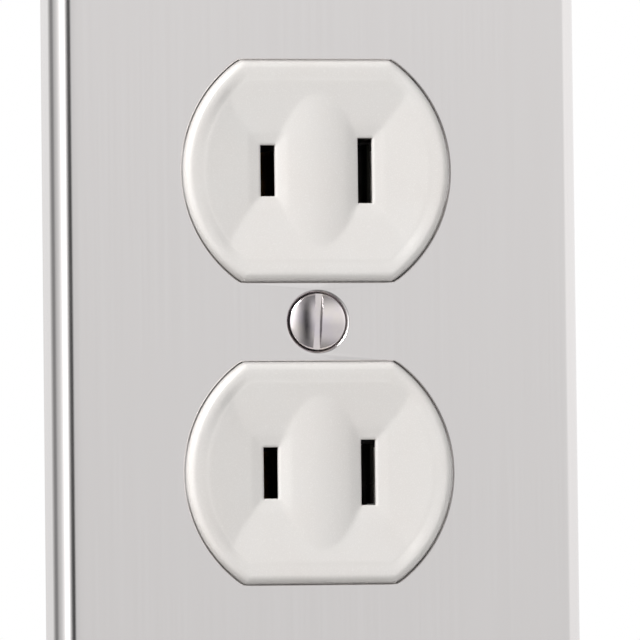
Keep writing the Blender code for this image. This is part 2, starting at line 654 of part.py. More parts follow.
def main():
    clear_scene()
    stainless = make_material("stainless_steel", (0.66, 0.64, 0.62), 0.32, 1.0)
    screw_steel = make_material("nickel_plated_steel", (0.70, 0.68, 0.70), 0.22, 1.0)
    white_plastic = make_material("white_plastic", (0.83, 0.82, 0.80), 0.28, 0.0)
    base_plastic = make_material("base_plastic", (0.025, 0.022, 0.021), 0.42, 0.0)
    zinc = make_material("zinc_plated_steel", (0.62, 0.62, 0.60), 0.42, 1.0)
    brass = make_material("brass", (0.80, 0.60, 0.28), 0.35, 1.0)
    nickel = make_material("nickel_plated_brass", (0.72, 0.71, 0.68), 0.35, 1.0)
    fibre = make_material("vulcanised_fibre", (0.28, 0.12, 0.07), 0.8, 0.0)
    make_wall_plate(stainless)
    make_plate_screw(screw_steel)
    make_mounting_strap(zinc)
    make_face_cover(white_plastic)
    make_body_base(base_plastic)
    for side, metal in (("hot", brass), ("neutral", nickel)):
        make_contact_strip(side, metal)
        for row in ("upper", "lower"):
            make_clamp_plate(side, row, metal)
            make_terminal_screw(side, row, metal)
    for row, z in (("upper", MOUNTING_SPACING / 2), ("lower", -MOUNTING_SPACING / 2)):
        make_mounting_screw(row, z, zinc)
        make_screw_retainer(row, z, fibre)
    for name, place in rivet_places().items():
        make_rivet(name, place, zinc)


main()
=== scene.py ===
"""Looks of the duplex wall outlet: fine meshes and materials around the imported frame.

Metres, in the CAD's frame: +X to the right seen from the front, the front faces -Y, +Z up. The
origin is on the plate screw's axis, in the plane of the wall. Each visible piece is a closed mesh
that stands for a CAD node and rides on that node's body.
"""

import json
import math
from contextlib import contextmanager

import bmesh
import bpy
from mathutils import Matrix, Vector
from mathutils.geometry import tessellate_polygon


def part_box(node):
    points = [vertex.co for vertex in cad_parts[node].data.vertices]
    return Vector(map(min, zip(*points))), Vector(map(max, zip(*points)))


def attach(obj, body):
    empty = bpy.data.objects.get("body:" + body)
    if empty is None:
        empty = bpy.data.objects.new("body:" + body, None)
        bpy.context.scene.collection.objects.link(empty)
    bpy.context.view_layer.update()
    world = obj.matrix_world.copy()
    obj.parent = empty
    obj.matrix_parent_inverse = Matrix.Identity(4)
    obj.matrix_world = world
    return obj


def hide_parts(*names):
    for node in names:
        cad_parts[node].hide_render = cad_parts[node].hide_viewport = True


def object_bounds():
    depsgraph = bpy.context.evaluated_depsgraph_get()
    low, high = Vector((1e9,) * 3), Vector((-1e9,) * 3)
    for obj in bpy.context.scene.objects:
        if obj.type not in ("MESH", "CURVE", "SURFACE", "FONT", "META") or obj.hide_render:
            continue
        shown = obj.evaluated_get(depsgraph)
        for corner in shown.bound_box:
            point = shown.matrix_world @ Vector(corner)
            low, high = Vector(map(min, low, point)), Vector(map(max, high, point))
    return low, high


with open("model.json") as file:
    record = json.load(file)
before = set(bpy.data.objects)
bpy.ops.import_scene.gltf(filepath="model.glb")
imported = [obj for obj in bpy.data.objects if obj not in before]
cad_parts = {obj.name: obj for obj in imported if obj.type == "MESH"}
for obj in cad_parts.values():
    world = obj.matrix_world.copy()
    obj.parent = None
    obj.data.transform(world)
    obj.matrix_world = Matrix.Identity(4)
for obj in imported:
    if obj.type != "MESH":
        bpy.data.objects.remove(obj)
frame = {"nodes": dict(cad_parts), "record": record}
cad_low, cad_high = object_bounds()

MM = 0.001
MICRON = 0.001 * MM
BODIES = frame["record"]["behaviour"]["bodies"]
BODY_OF = {node: body for body, nodes in BODIES.items() for node in nodes}

# ---- sizes

# Read from the frame
PLATE_LOW, PLATE_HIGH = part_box("wall_plate")
PLATE_FRONT = PLATE_LOW.y
COVER_LOW, COVER_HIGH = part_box("face_cover")
FACE_FRONT = COVER_LOW.y
BODY_HALF = (COVER_HIGH.x, COVER_HIGH.z)
BASE_LOW, BASE_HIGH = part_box("body_base")
STRAP_LOW, STRAP_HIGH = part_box("mounting_strap")

# Repeated from the CAD source, where no box gives them
OUTLET_Z = 19.45 * MM
SLOT_X = 6.35 * MM
SLOTS = {"hot": (-1, 1.05 * MM, 3.4 * MM), "neutral": (1, 1.05 * MM, 4.3 * MM)}  # side, half sizes
FACE_RADIUS = 17.1 * MM
FACE_HALF_HEIGHT = 14.05 * MM
OPENING_RADIUS = 17.5 * MM
OPENING_HALF_HEIGHT = 14.35 * MM
PLATE_SHEET = 0.8 * MM
PLATE_BACK = PLATE_FRONT + PLATE_SHEET  # back of its flat middle
PLATE_CORNER = 3.3 * MM
PLATE_BEVEL = 3.3 * MM
PLATE_BEND = 2.2 * MM
PLATE_CROWN = 1.3 * MM  # width of the face's edge that falls off a little before the bend
CROWN_FALL = 0.03 * MM
BEVEL_START = math.radians(30)
BEVEL_END = math.radians(80)
DIMPLE_RADIUS = 4.1 * MM
DIMPLE_DEPTH = 2.1 * MM
SCREW_HOLE = 2.0 * MM
COVER_FRONT = -3.5 * MM
GAP = 0.3 * MM
BODY_CORNER = 2.8 * MM
RIVET_HOLE = 1.6 * MM
RIVET_INSET = 2.8 * MM  # from the body's sides to a rivet's axis
RIVET_X, RIVET_Z = (half - RIVET_INSET for half in BODY_HALF)
RIVET_PLACES = [(x, z) for z in (RIVET_Z, -RIVET_Z) for x in (-RIVET_X, RIVET_X)]


# ---- outlines


def arc(centre_x, centre_z, radius, start, end, sides):
    angles = [start + (end - start) * step / sides for step in range(sides + 1)]
    return [(centre_x + radius * math.cos(a), centre_z + radius * math.sin(a)) for a in angles]


def circle(radius, sides=64):
    return arc(0, 0, radius, 0, math.tau, sides)[:-1]


def rounded_rectangle(half_width, half_height, corner, sides=10):
    points = []
    for turn, (sx, sz) in enumerate(((1, 1), (-1, 1), (-1, -1), (1, -1))):
        start = turn * math.pi / 2
        centre = (sx * (half_width - corner), sz * (half_height - corner))
        points += arc(*centre, corner, start, start + math.pi / 2, sides)
    return points


def flattened_circle(radius, half_height, corner, arc_shares, flat_shares):
    """Two arcs joined by flats, with round corners, as points at shares of each of its four sides.

    A side runs from the middle of one corner to the middle of the next. The sides go round from the
    right arc's lower end, so that loops with the same shares match point by point.
    """
    start = math.asin((half_height - corner) / (radius - corner))  # where the corner leaves the arc
    centre = ((radius - corner) * math.cos(start), half_height - corner)
    middle = (start + math.pi / 2) / 2
    fillet = corner * (middle - start)
    flat_fillet = corner * (math.pi / 2 - middle)

    def on_right(share):
        length = 2 * (radius * start + fillet)
        s = share * length - length / 2
        sign, s = (1 if s >= 0 else -1), abs(s)
        if s <= radius * start:
            return radius * math.cos(s / radius), sign * radius * math.sin(s / radius)
        angle = start + (s - radius * start) / corner
        return centre[0] + corner * math.cos(angle), sign * (centre[1] + corner * math.sin(angle))

    def on_top(share):
        length = 2 * (centre[0] + flat_fillet)
        s = length / 2 - share * length
        sign, s = (1 if s >= 0 else -1), abs(s)
        if s <= centre[0]:
            return sign * s, half_height
        angle = math.pi / 2 - (s - centre[0]) / corner
        return sign * (centre[0] + corner * math.cos(angle)), centre[1] + corner * math.sin(angle)

    right = [on_right(share) for share in arc_shares[:-1]]
    top = [on_top(share) for share in flat_shares[:-1]]
    return right + top + [(-x, -z) for x, z in right] + [(-x, -z) for x, z in top]


def at_y(outline, y, x=0.0, z=0.0):
    return [(px + x, y, pz + z) for px, pz in outline]


# ---- meshes

MERGE = 0.0002 * MM  # points closer than this are one point
SAME = 1e-7  # metres within which a point lies on a plane


class Shell:
    """A mesh made loop by loop."""

    def __init__(self):
        self.mesh = bmesh.new()

    def loop(self, points):
        return [self.mesh.verts.new(point) for point in points]

    def face(self, verts, finish=0):
        self.mesh.faces.new(verts).material_index = finish

    def band(self, first, second, finish=0):
        """Faces between two loops of equal length."""
        count = len(first)
        for i in range(count):
            j = (i + 1) % count
            self.face((first[i], first[j], second[j], second[i]), finish)

    def bands(self, loops):
        for first, second in zip(loops, loops[1:]):
            self.band(first, second)

    def sheet(self, loops):
        """A flat face inside the first loop, with the other loops as its holes."""
        if len(loops) == 1:
            self.face(loops[0])
            return
        corners = [vert for loop in loops for vert in loop]
        for triangle in tessellate_polygon([[vert.co for vert in loop] for loop in loops]):
            self.face([corners[i] for i in triangle])

    def close(self, loops):
        """Flat faces over the first and the last loop."""
        self.sheet(loops[:1])
        self.sheet(loops[-1:])

    def lathe(self, profile, sides, radius_at=None):
        """A surface turned about Y from (radius, y) pairs; radius_at(turn, y) changes a radius."""
        loops = []
        for radius, y in profile:
            outline = circle(radius, sides)
            if radius_at:
                shares = [radius_at(i / sides, y) / radius for i in range(sides)]
                outline = [(x * share, z * share) for (x, z), share in zip(outline, shares)]
            loops.append(self.loop(at_y(outline, y)))
        self.bands(loops)
        return loops


def add_object(name, data):
    thing = bpy.data.objects.new(name, data)
    bpy.context.scene.collection.objects.link(thing)
    return thing


def new_object(name, mesh):
    """An object of the mesh, with every face turned outwards and no loose points."""
    loose = [vert for vert in mesh.verts if not vert.link_faces]
    bmesh.ops.delete(mesh, geom=loose, context="VERTS")
    mesh.normal_update()
    bmesh.ops.recalc_face_normals(mesh, faces=mesh.faces)
    data = bpy.data.meshes.new(name)
    mesh.to_mesh(data)
    mesh.free()
    return add_object(name, data)


@contextmanager
def changing(data):
    """A mesh open for changes, which are written back."""
    mesh = bmesh.new()
    mesh.from_mesh(data)
    yield mesh
    mesh.to_mesh(data)
    mesh.free()


def keep_result(thing):
    """Makes the evaluated mesh the object's own, and drops its modifiers."""
    graph = bpy.context.evaluated_depsgraph_get()
    data = bpy.data.meshes.new_from_object(thing.evaluated_get(graph))
    thing.modifiers.clear()
    thing.data = data
    with changing(data) as mesh:
        bmesh.ops.remove_doubles(mesh, verts=mesh.verts, dist=MERGE)
        bmesh.ops.dissolve_degenerate(mesh, edges=mesh.edges, dist=MERGE)


def cut(thing, tools):
    """Cuts the tools from the object, and removes them."""
    for tool in tools:
        modifier = thing.modifiers.new("cut", "BOOLEAN")
        modifier.operation = "DIFFERENCE"
        modifier.object = tool
    keep_result(thing)
    for tool in tools:
        bpy.data.objects.remove(tool)


def prism(outline, front, back, x=0.0, z=0.0):
    """The outline drawn out along Y from front to back."""
    shell = Shell()
    loops = [shell.loop(at_y(outline, y, x, z)) for y in (front, back)]
    shell.bands(loops)
    shell.close(loops)
    return new_object("tool", shell.mesh)


def box(low, high):
    outline = [(low[0], low[2]), (high[0], low[2]), (high[0], high[2]), (low[0], high[2])]
    return prism(outline, low[1], high[1])


def turned(profile, sides=64, place=(0, 0, 0)):
    """A turned solid with flat ends."""
    shell = Shell()
    shell.close(shell.lathe(profile, sides))
    thing = new_object("tool", shell.mesh)
    thing.location = place
    return thing


def soften(thing, width, angle=40, segments=2):
    """Rounds the sharp edges, as moulding, stamping or plating leaves them."""
    modifier = thing.modifiers.new("edges", "BEVEL")
    modifier.width = width
    modifier.segments = segments
    modifier.limit_method = "ANGLE"
    modifier.angle_limit = math.radians(angle)


def dress(thing, name, node, materials, sharp=50):
    """Gives a piece its name, place in the frame, finish and shading."""
    thing.name = name
    thing.data.materials.clear()
    for material in materials:
        thing.data.materials.append(material)
    thing.data.shade_smooth()
    thing.data.set_sharp_from_angle(angle=math.radians(sharp))
    shading = thing.modifiers.new("shading", "WEIGHTED_NORMAL")
    shading.keep_sharp = True
    shading.weight = 80
    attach(thing, BODY_OF[node])
    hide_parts(node)


def move_points(thing, moved):
    """Replaces each point of an object's mesh by what the function makes of it."""
    for vert in thing.data.vertices:
        vert.co = moved(vert.co)


def turn_to_side(thing, sign):
    """Turns a piece whose head faces -Y so that its head faces outwards at the -X or +X side."""
    move_points(thing, lambda p: Vector((-sign * p.y, sign * p.x, p.z)))


def spin(thing, angle, axis):
    turn = Matrix.Rotation(angle, 3, axis)
    move_points(thing, lambda p: turn @ p)


def shift(thing, offset):
    offset = Vector(offset)
    move_points(thing, lambda p: p + offset)


def v_bar(half, half_length, axis, place):
    """A square bar along the X or Z axis, turned corner down, which cuts a V groove."""
    size = Vector([half_length if name == axis else half for name in "XYZ"])
    bar = box(-size, size)
    spin(bar, math.radians(45), axis)
    shift(bar, place)
    return bar


# ---- materials

WEAR_REACH = 0.35 * MM  # how far from an edge a coating is worn
FLOOR_NEAR, FLOOR_FAR = 0.45, 2.4  # metres from the object between which the floor starts to glow
FLOOR_GLOW = 0.75
PAINTED_SHADE_Y = (2.5 * MM, 5.5 * MM)  # depths between which the contacts' painted shade behind the slots fades out


class Nodes:
    """Short calls that add nodes to a node tree."""

    def __init__(self, tree):
        self.tree = tree

    def add(self, kind, **settings):
        return self.fill(self.tree.nodes.new(kind), **settings)

    def fill(self, node, **settings):
        """Sets sockets, whose names start with a capital and take _ for a space, and properties."""
        for name, value in settings.items():
            if name[0].isupper():
                self.set(node, name.replace("_", " "), value)
            else:
                setattr(node, name, value)
        return node

    def set(self, node, socket, value):
        """Links an output to a socket, or sets the socket's value."""
        if isinstance(value, bpy.types.NodeSocket):
            self.tree.links.new(value, node.inputs[socket])
        else:
            node.inputs[socket].default_value = value

    def between(self, factor, low, high, start=0.3, end=0.7, interpolation="LINEAR"):
        """A value from low to high as the factor goes from start to end."""
        node = self.add("ShaderNodeMapRange", interpolation_type=interpolation, Value=factor)
        self.fill(node, From_Min=start, From_Max=end, To_Min=low, To_Max=high)
        return node.outputs["Result"]

    def mixed(self, factor, first, second):
        node = self.add("ShaderNodeMix", data_type="RGBA", Factor=factor)
        for index, value in ((6, first), (7, second)):
            plain = not isinstance(value, bpy.types.NodeSocket)
            self.set(node, index, (*value, 1.0) if plain else value)
        return node.outputs[2]

    def compute(self, operation, *values):
        node = self.add("ShaderNodeMath", operation=operation)
        for index, value in enumerate(values):
            self.set(node, index, value)
        return node.outputs["Value"]

    def split(self, vector):
        return self.add("ShaderNodeSeparateXYZ", Vector=vector).outputs


class Finish(Nodes):
    """A Principled material."""

    def __init__(self, name, colour, roughness, metallic=0.0, **settings):
        self.material = bpy.data.materials.new(name)
        self.material.use_nodes = True
        super().__init__(self.material.node_tree)
        self.shader = self.fill(self.tree.nodes["Principled BSDF"], **settings)
        self.fill(self.shader, Base_Color=(*colour, 1.0), Roughness=roughness, Metallic=metallic)
        self.place = self.add("ShaderNodeTexCoord").outputs["Object"]

    def noise(self, scale, stretch=(1, 1, 1), detail=3.0, roughness=0.5):
        """Noise in the piece's own space: scale is in cells per metre."""
        mapping = self.add("ShaderNodeMapping", Vector=self.place, Scale=stretch)
        texture = self.add("ShaderNodeTexNoise", Vector=mapping.outputs["Vector"], Scale=scale)
        return self.fill(texture, Detail=detail, Roughness=roughness).outputs["Fac"]

    def spots(self, scale):
        return self.add("ShaderNodeTexVoronoi", Vector=self.place, Scale=scale).outputs["Distance"]

    def toned(self, noise, first, second):
        """One colour turning into another with the noise."""
        return self.mixed(self.between(noise, 0, 1), first, second)

    def worn(self):
        """1 on convex edges, 0 elsewhere. Seen from inside, another side is near at an edge."""
        inside = self.add("ShaderNodeAmbientOcclusion", inside=True, only_local=True, samples=6)
        self.fill(inside, Distance=WEAR_REACH)
        return self.between(inside.outputs["AO"], 1.0, 0.0, 0.45, 0.85)

    def paint(self, colour):
        self.set(self.shader, "Base Color", colour)

    def rough(self, value):
        self.set(self.shader, "Roughness", value)

    def bump(self, height, depth, strength, under=None):
        node = self.add("ShaderNodeBump", Height=height, Distance=depth, Strength=strength)
        if under:
            self.set(node, "Normal", under)
        self.set(self.shader, "Normal", node.outputs["Normal"])
        return node.outputs["Normal"]


def scaled(colour, factor, plus=0.0):
    return tuple(min(1.0, c * factor + plus) for c in colour)


def stainless_steel():
    """Satin sheet, with the faint upright grain of its rolling and smudges from hands."""
    finish = Finish("stainless_steel", (0.80, 0.785, 0.775), 0.17, 1.0)
    grain = finish.noise(2600, (1, 1, 0.012), 2.0)
    smudge = finish.noise(38, (1, 1, 0.7), 4.0, 0.6)
    tone = finish.toned(smudge, (0.788, 0.762, 0.757), (0.808, 0.782, 0.777))
    finish.paint(finish.mixed(finish.between(grain, 0, 0.35), tone, (0.832, 0.812, 0.808)))
    finish.rough(finish.between(smudge, 0.145, 0.195))
    finish.bump(grain, 1.2 * MICRON, 0.6)
    return finish.material


def bright_nickel():
    """Plated screw: bright, with a warm and a violet cast, and fine turning marks."""
    finish = Finish("bright_nickel", (0.78, 0.725, 0.755), 0.15, 1.0)
    cast = finish.noise(420, detail=2.0)
    marks = finish.noise(5200, (1, 0.4, 1), 2.0)
    finish.paint(finish.toned(cast, (0.745, 0.69, 0.745), (0.82, 0.765, 0.745)))
    finish.rough(finish.between(cast, 0.13, 0.21))
    finish.bump(marks, 1.5 * MICRON, 0.5)
    return finish.material


def white_plastic():
    """Glossy moulded urea, with a slight orange peel and uneven warmth."""
    finish = Finish("white_plastic", (0.70, 0.683, 0.668), 0.24, IOR=1.5)
    finish.fill(finish.shader, Coat_Weight=0.12, Coat_Roughness=0.12)
    cloud = finish.noise(75, detail=3.0, roughness=0.6)
    peel = finish.noise(1400, detail=2.0)
    fine = finish.noise(9000, detail=2.0)
    warm = finish.toned(cloud, (0.666, 0.641, 0.622), (0.674, 0.662, 0.649))
    finish.paint(finish.mixed(finish.between(fine, 0, 0.3, 0.35, 0.75), warm, (0.69, 0.679, 0.668)))
    finish.rough(finish.between(fine, 0.2, 0.3))
    under = finish.bump(peel, 6 * MICRON, 0.35)
    finish.bump(fine, 1.5 * MICRON, 0.3, under)
    return finish.material


def dark_phenolic(name="dark_phenolic", colour=(0.022, 0.019, 0.018)):
    """Filled thermoset for the base: nearly black, with pale filler specks and flow marks."""
    finish = Finish(name, colour, 0.42, IOR=1.55)
    flow = finish.noise(90, (1, 1, 0.35), 5.0, 0.65)
    specks = finish.spots(2600)
    grain = finish.noise(3200, detail=3.0)
    tone = finish.toned(flow, colour, scaled(colour, 1.9, 0.006))
    speck = scaled(colour, 3.2, 0.03)
    tone = finish.mixed(finish.between(specks, 0.5, 0.0, 0.05, 0.16), tone, speck)
    finish.paint(finish.mixed(finish.worn(), tone, speck))
    finish.rough(finish.between(flow, 0.34, 0.5))
    finish.bump(grain, 10 * MICRON, 0.35)
    return finish.material


def zinc_steel():
    """Zinc plate: cloudy blue and yellow cast, with fine scratches and bright worn edges."""
    finish = Finish("zinc_steel", (0.66, 0.66, 0.65), 0.34, 1.0)
    cloud = finish.noise(110, detail=5.0, roughness=0.62)
    scratch = finish.noise(1500, (0.06, 1, 1), 3.0)
    tone = finish.toned(cloud, (0.60, 0.615, 0.64), (0.70, 0.685, 0.63))
    finish.paint(finish.mixed(finish.worn(), tone, (0.80, 0.80, 0.79)))
    finish.rough(finish.between(cloud, 0.26, 0.44))
    finish.bump(scratch, 6 * MICRON, 0.4)
    return finish.material


def stamped_metal(name, colour, tarnish):
    """Stamped strip: die marks along it, blotches of tarnish, and painted shade: near black towards
    its front, behind the slots.
    """
    finish = Finish(name, colour, 0.3, 1.0)
    blotch = finish.noise(160, detail=5.0, roughness=0.65)
    marks = finish.noise(1900, (1, 1, 0.05), 3.0)
    tone = finish.mixed(finish.between(blotch, 0, 1, 0.42, 0.72), colour, tarnish)
    tone = finish.mixed(finish.worn(), tone, scaled(colour, 1.12))
    # Painted shade: the strip turns near black towards its front, where it shows through the slots
    inside = finish.between(finish.split(finish.place)["Y"], 1, 0, *PAINTED_SHADE_Y)
    finish.paint(finish.mixed(inside, tone, scaled(tarnish, 0.04)))
    finish.rough(finish.between(blotch, 0.22, 0.42))
    finish.bump(marks, 4 * MICRON, 0.4)
    return finish.material


def vulcanised_fibre():
    """Pressed red fibre, matted and a little hairy."""
    finish = Finish("vulcanised_fibre", (0.26, 0.10, 0.06), 0.82)
    hairs = finish.noise(900, (1, 1, 0.2), 6.0, 0.75)
    cloud = finish.noise(260, detail=3.0)
    tone = finish.toned(cloud, (0.22, 0.08, 0.05), (0.31, 0.13, 0.08))
    finish.paint(finish.mixed(finish.between(hairs, 0, 0.5), tone, (0.42, 0.22, 0.15)))
    finish.bump(hairs, 30 * MICRON, 0.6)
    return finish.material


def studio_floor():
    """Pale floor that turns into the backdrop's white away from the object.

    Mirror rays pass through it, so that metal shows the studio's walls below the horizon too.
    """
    finish = Finish("studio_floor", (0.6, 0.6, 0.595), 0.6)
    cloud = finish.noise(3, detail=4.0)
    finish.paint(finish.toned(cloud, (0.58, 0.58, 0.575), (0.61, 0.61, 0.605)))
    away = finish.add("ShaderNodeVectorMath", operation="LENGTH", Vector=finish.place)
    glow = finish.between(away.outputs["Value"], 0, FLOOR_GLOW, FLOOR_NEAR, FLOOR_FAR)
    finish.fill(finish.shader, Emission_Color=(1, 1, 1, 1), Emission_Strength=glow)
    either = finish.add("ShaderNodeMixShader")
    finish.set(either, "Fac", finish.add("ShaderNodeLightPath").outputs["Is Glossy Ray"])
    finish.set(either, 1, finish.shader.outputs["BSDF"])
    finish.set(either, 2, finish.add("ShaderNodeBsdfTransparent").outputs["BSDF"])
    finish.set(finish.tree.nodes["Material Output"], "Surface", either.outputs["Shader"])
    return finish.material


STAINLESS = stainless_steel()
NICKEL = bright_nickel()
WHITE = white_plastic()
BASE_PLASTIC = dark_phenolic()
# Painted shade: a near-black copy of the base's thermoset for the insides of the slots, standing in
# for the shade in them
SLOT_PAINTED_SHADE = dark_phenolic("slot_painted_shade", (0.006, 0.0055, 0.0055))
ZINC = zinc_steel()
BRASS = stamped_metal("brass", (0.80, 0.58, 0.25), (0.52, 0.34, 0.15))
PLATED_BRASS = stamped_metal("plated_brass", (0.72, 0.705, 0.67), (0.55, 0.52, 0.46))
FIBRE = vulcanised_fibre()
SIDE_METAL = {"hot": (BRASS, "brass"), "neutral": (PLATED_BRASS, "plated_brass")}  # with its slot


# ---- wall plate

OPENING_CORNER = 1.1 * MM
OPENING_LIP = 0.18 * MM  # radius that punching leaves round an opening
RIM_BREAK = 0.12 * MM
DIMPLE_LIP = 0.2 * MM
BURR = 0.05 * MM  # break on a punched edge's back
HOLE_BREAK = 0.04 * MM
ARC_SHARES = [i / 48 for i in range(49)]
FLAT_SHARES = [i / 20 for i in range(21)]


def plate_profile():
    """(inset, y, slope) over the skirt, the bevel's arc and the bend at the face."""
    depth = -PLATE_FRONT - PLATE_BEND * (1 - math.cos(BEVEL_START))
    width = PLATE_BEVEL - PLATE_BEND * math.sin(BEVEL_START)
    arc_width = math.sin(BEVEL_END) - math.sin(BEVEL_START)
    arc_depth = math.cos(BEVEL_START) - math.cos(BEVEL_END)
    radius = (width * math.sin(BEVEL_END) - depth * math.cos(BEVEL_END)) / (
        arc_width * math.sin(BEVEL_END) - arc_depth * math.cos(BEVEL_END)
    )
    skirt = (depth - radius * arc_depth) / math.sin(BEVEL_END)
    inset, y = skirt * math.cos(BEVEL_END), -skirt * math.sin(BEVEL_END)
    points = []
    for bend, start, end, steps in (
        (radius, BEVEL_END, BEVEL_START, 18),
        (PLATE_BEND, BEVEL_START, 0.0, 12),
    ):
        centre = (inset + bend * math.sin(start), y + bend * math.cos(start))
        for step in range(steps + 1):
            slope = start + (end - start) * step / steps
            point = (centre[0] - bend * math.sin(slope), centre[1] - bend * math.cos(slope), slope)
            if not points or step:
                points.append(point)
        inset, y = points[-1][:2]
    for step in range(1, 9):
        points.append((PLATE_BEVEL + PLATE_CROWN * step / 8, PLATE_FRONT, 0.0))
    return [(inset, y + crown_fall(inset), slope) for inset, y, slope in points]


def crown_fall(inset):
    return CROWN_FALL * min(max((PLATE_BEVEL + PLATE_CROWN - inset) / PLATE_CROWN, 0.0), 1.3) ** 2


def plate_loop(inset, y):
    corner = max(PLATE_CORNER - inset, 0.4 * MM)
    outline = rounded_rectangle(PLATE_HIGH.x - inset, PLATE_HIGH.z - inset, corner)
    return at_y(outline, y)


def opening_loop(grow, y, z):
    sizes = [size + grow for size in (OPENING_RADIUS, OPENING_HALF_HEIGHT, OPENING_CORNER)]
    return at_y(flattened_circle(*sizes, ARC_SHARES, FLAT_SHARES), y, z=z)


def plate_opening(shell, z):
    """The punched edge of a face's opening: its front loop and its back loop."""
    steps = []
    for step in range(6):
        a = math.radians(90 * step / 5)
        y = PLATE_FRONT + OPENING_LIP * (1 - math.cos(a))
        steps.append((OPENING_LIP * (1 - math.sin(a)), y))
    steps += [(0.0, PLATE_BACK - BURR), (BURR, PLATE_BACK)]
    lip = [shell.loop(opening_loop(grow, y, z)) for grow, y in steps]
    shell.bands(lip)
    return lip[0], lip[-1]


def plate_dimple(shell):
    """The drawn dimple and its screw hole: the front loop and the back loop."""
    cone = math.atan2(DIMPLE_DEPTH - PLATE_SHEET / 2, DIMPLE_RADIUS - SCREW_HOLE)
    lip_radius = DIMPLE_RADIUS + DIMPLE_LIP * math.tan(cone / 2)
    lip_y = PLATE_FRONT + DIMPLE_LIP
    profile = []
    for step in range(7):
        a = cone * step / 6
        profile.append((lip_radius - DIMPLE_LIP * math.sin(a), lip_y - DIMPLE_LIP * math.cos(a)))
    floor = PLATE_FRONT + DIMPLE_DEPTH
    hole_edge = floor - PLATE_SHEET / 2
    profile += [
        (SCREW_HOLE + HOLE_BREAK, hole_edge - HOLE_BREAK),
        (SCREW_HOLE, hole_edge + HOLE_BREAK),
        (SCREW_HOLE, floor),
        (SCREW_HOLE + PLATE_SHEET, floor),
        (DIMPLE_RADIUS + PLATE_SHEET, PLATE_BACK),
    ]
    rings = shell.lathe(profile, 96)
    return rings[0], rings[-1]


def make_wall_plate():
    shell = Shell()
    profile = plate_profile()
    foot = PLATE_SHEET / math.sin(BEVEL_END)
    outer = [(foot - RIM_BREAK, 0.0), (RIM_BREAK, 0.0), (RIM_BREAK * 0.2, -RIM_BREAK * 0.8)]
    outer += [(inset, y) for inset, y, _ in profile]
    inner = [(foot, -RIM_BREAK)]
    for inset, y, slope in profile:
        inner.append((inset + PLATE_SHEET * math.sin(slope), y + PLATE_SHEET * math.cos(slope)))
    loops = [shell.loop(plate_loop(*step)) for step in inner[::-1] + outer]
    shell.bands(loops)
    holes = [plate_opening(shell, OUTLET_Z), plate_opening(shell, -OUTLET_Z), plate_dimple(shell)]
    shell.sheet([loops[-1]] + [front for front, _ in holes])
    shell.sheet([loops[0]] + [back for _, back in holes])
    plate = new_object("plate", shell.mesh)
    dress(plate, "stainless_wall_plate", "wall_plate", [STAINLESS], 60)


# ---- outlet faces

FACE_CORNER = 1.2 * MM
FACE_FOOT = -0.25 * MM  # inset of the drafted side wall at the wall plate's level
RIM_ROUND = 0.85 * MM
RIM_CREST = 0.9 * MM  # inset where the bead starts to fall inwards
RIM_INSET = 2.5 * MM  # inset where the funnels start
RIM_FALL = 0.08 * MM
FACET_DEPTH = 1.12 * MM  # depth at which the facets would meet the slot without its lead-in
LEAD_IN = 1.5 * MM
LEAD_IN_DEPTH = 0.15 * MM
RIDGE_HEIGHT = 0.78  # share of the way from the facets' depth to the rim that the ridge reaches
RIDGE_BEND = 2.1  # power of the ridge's crown
ARC_SHARE = 0.45  # how far the outer facets follow the arc instead of being flat
CREASE = 0.035  # how softly the facets meet, as a share of their rise
SLOT_LIP = 0.10 * MM
LIP_THICKNESS = 0.8 * MM
CHAMBER_MARGIN = 0.85 * MM
WELL_HALF = (9.6 * MM, 7.4 * MM)
GRID_STEP = 0.3 * MM
SIDE_COLUMNS = 16  # from the slots' surroundings to the arc
INNER_RADIUS = FACE_RADIUS - RIM_INSET
INNER_HALF = FACE_HALF_HEIGHT - RIM_INSET
LEDGE_Y = COVER_FRONT + 0.1 * MM  # a face's back edge, inside the front of the cover's flat part
TOUCH = 1e-9  # metres by which a point may miss a slot's edge


def soft_max(a, b, width):
    return (a + b + math.sqrt((a - b) ** 2 + width * width)) / 2


def face_depth(x, z):
    """How far the moulded face lies behind its front, at a place from the outlet's middle."""
    hot, neutral = SLOTS["hot"], SLOTS["neutral"]
    _, half_width, half_height = neutral if x > 0 else hot
    across = 0.5 + 0.5 * math.tanh(x / (1.5 * MM))
    level_height = hot[2] + (neutral[2] - hot[2]) * across
    outer_edge, inner_edge = SLOT_X + half_width, SLOT_X - half_width
    chord = math.sqrt(max(INNER_RADIUS**2 - z * z, (2 * MM) ** 2))
    reach = ARC_SHARE * chord + (1 - ARC_SHARE) * INNER_RADIUS
    outward = (abs(x) - outer_edge) / max(reach - outer_edge, 0.5 * MM)
    upward = (abs(z) - level_height) / (INNER_HALF - level_height)
    ridge = RIDGE_HEIGHT * (1 - (min(abs(x), inner_edge) / inner_edge) ** RIDGE_BEND)
    level = soft_max(soft_max(outward, upward, CREASE), ridge, CREASE)
    facets = RIM_FALL + (FACET_DEPTH - RIM_FALL) * (1 - min(max(level, 0.0), 1.0))
    away_x = max(abs(x) - outer_edge, inner_edge - abs(x), 0.0)
    away_z = max(abs(z) - half_height, 0.0)
    away = soft_max(away_x, away_z, 0.12 * MM) if max(away_x, away_z) > 0 else 0.0
    share = min(away / LEAD_IN, 1.0)
    return facets + LEAD_IN_DEPTH * (1 - share)


def spread(low, high, step):
    """Even steps between two values, both included."""
    count = max(1, round((high - low) / step))
    return [low + (high - low) * i / count for i in range(count + 1)]


def stations(stops, step):
    """Even steps through a list of stops that must all be hit."""
    values = [stops[0]]
    for low, high in zip(stops, stops[1:]):
        values += spread(low, high, step)[1:]
    return values


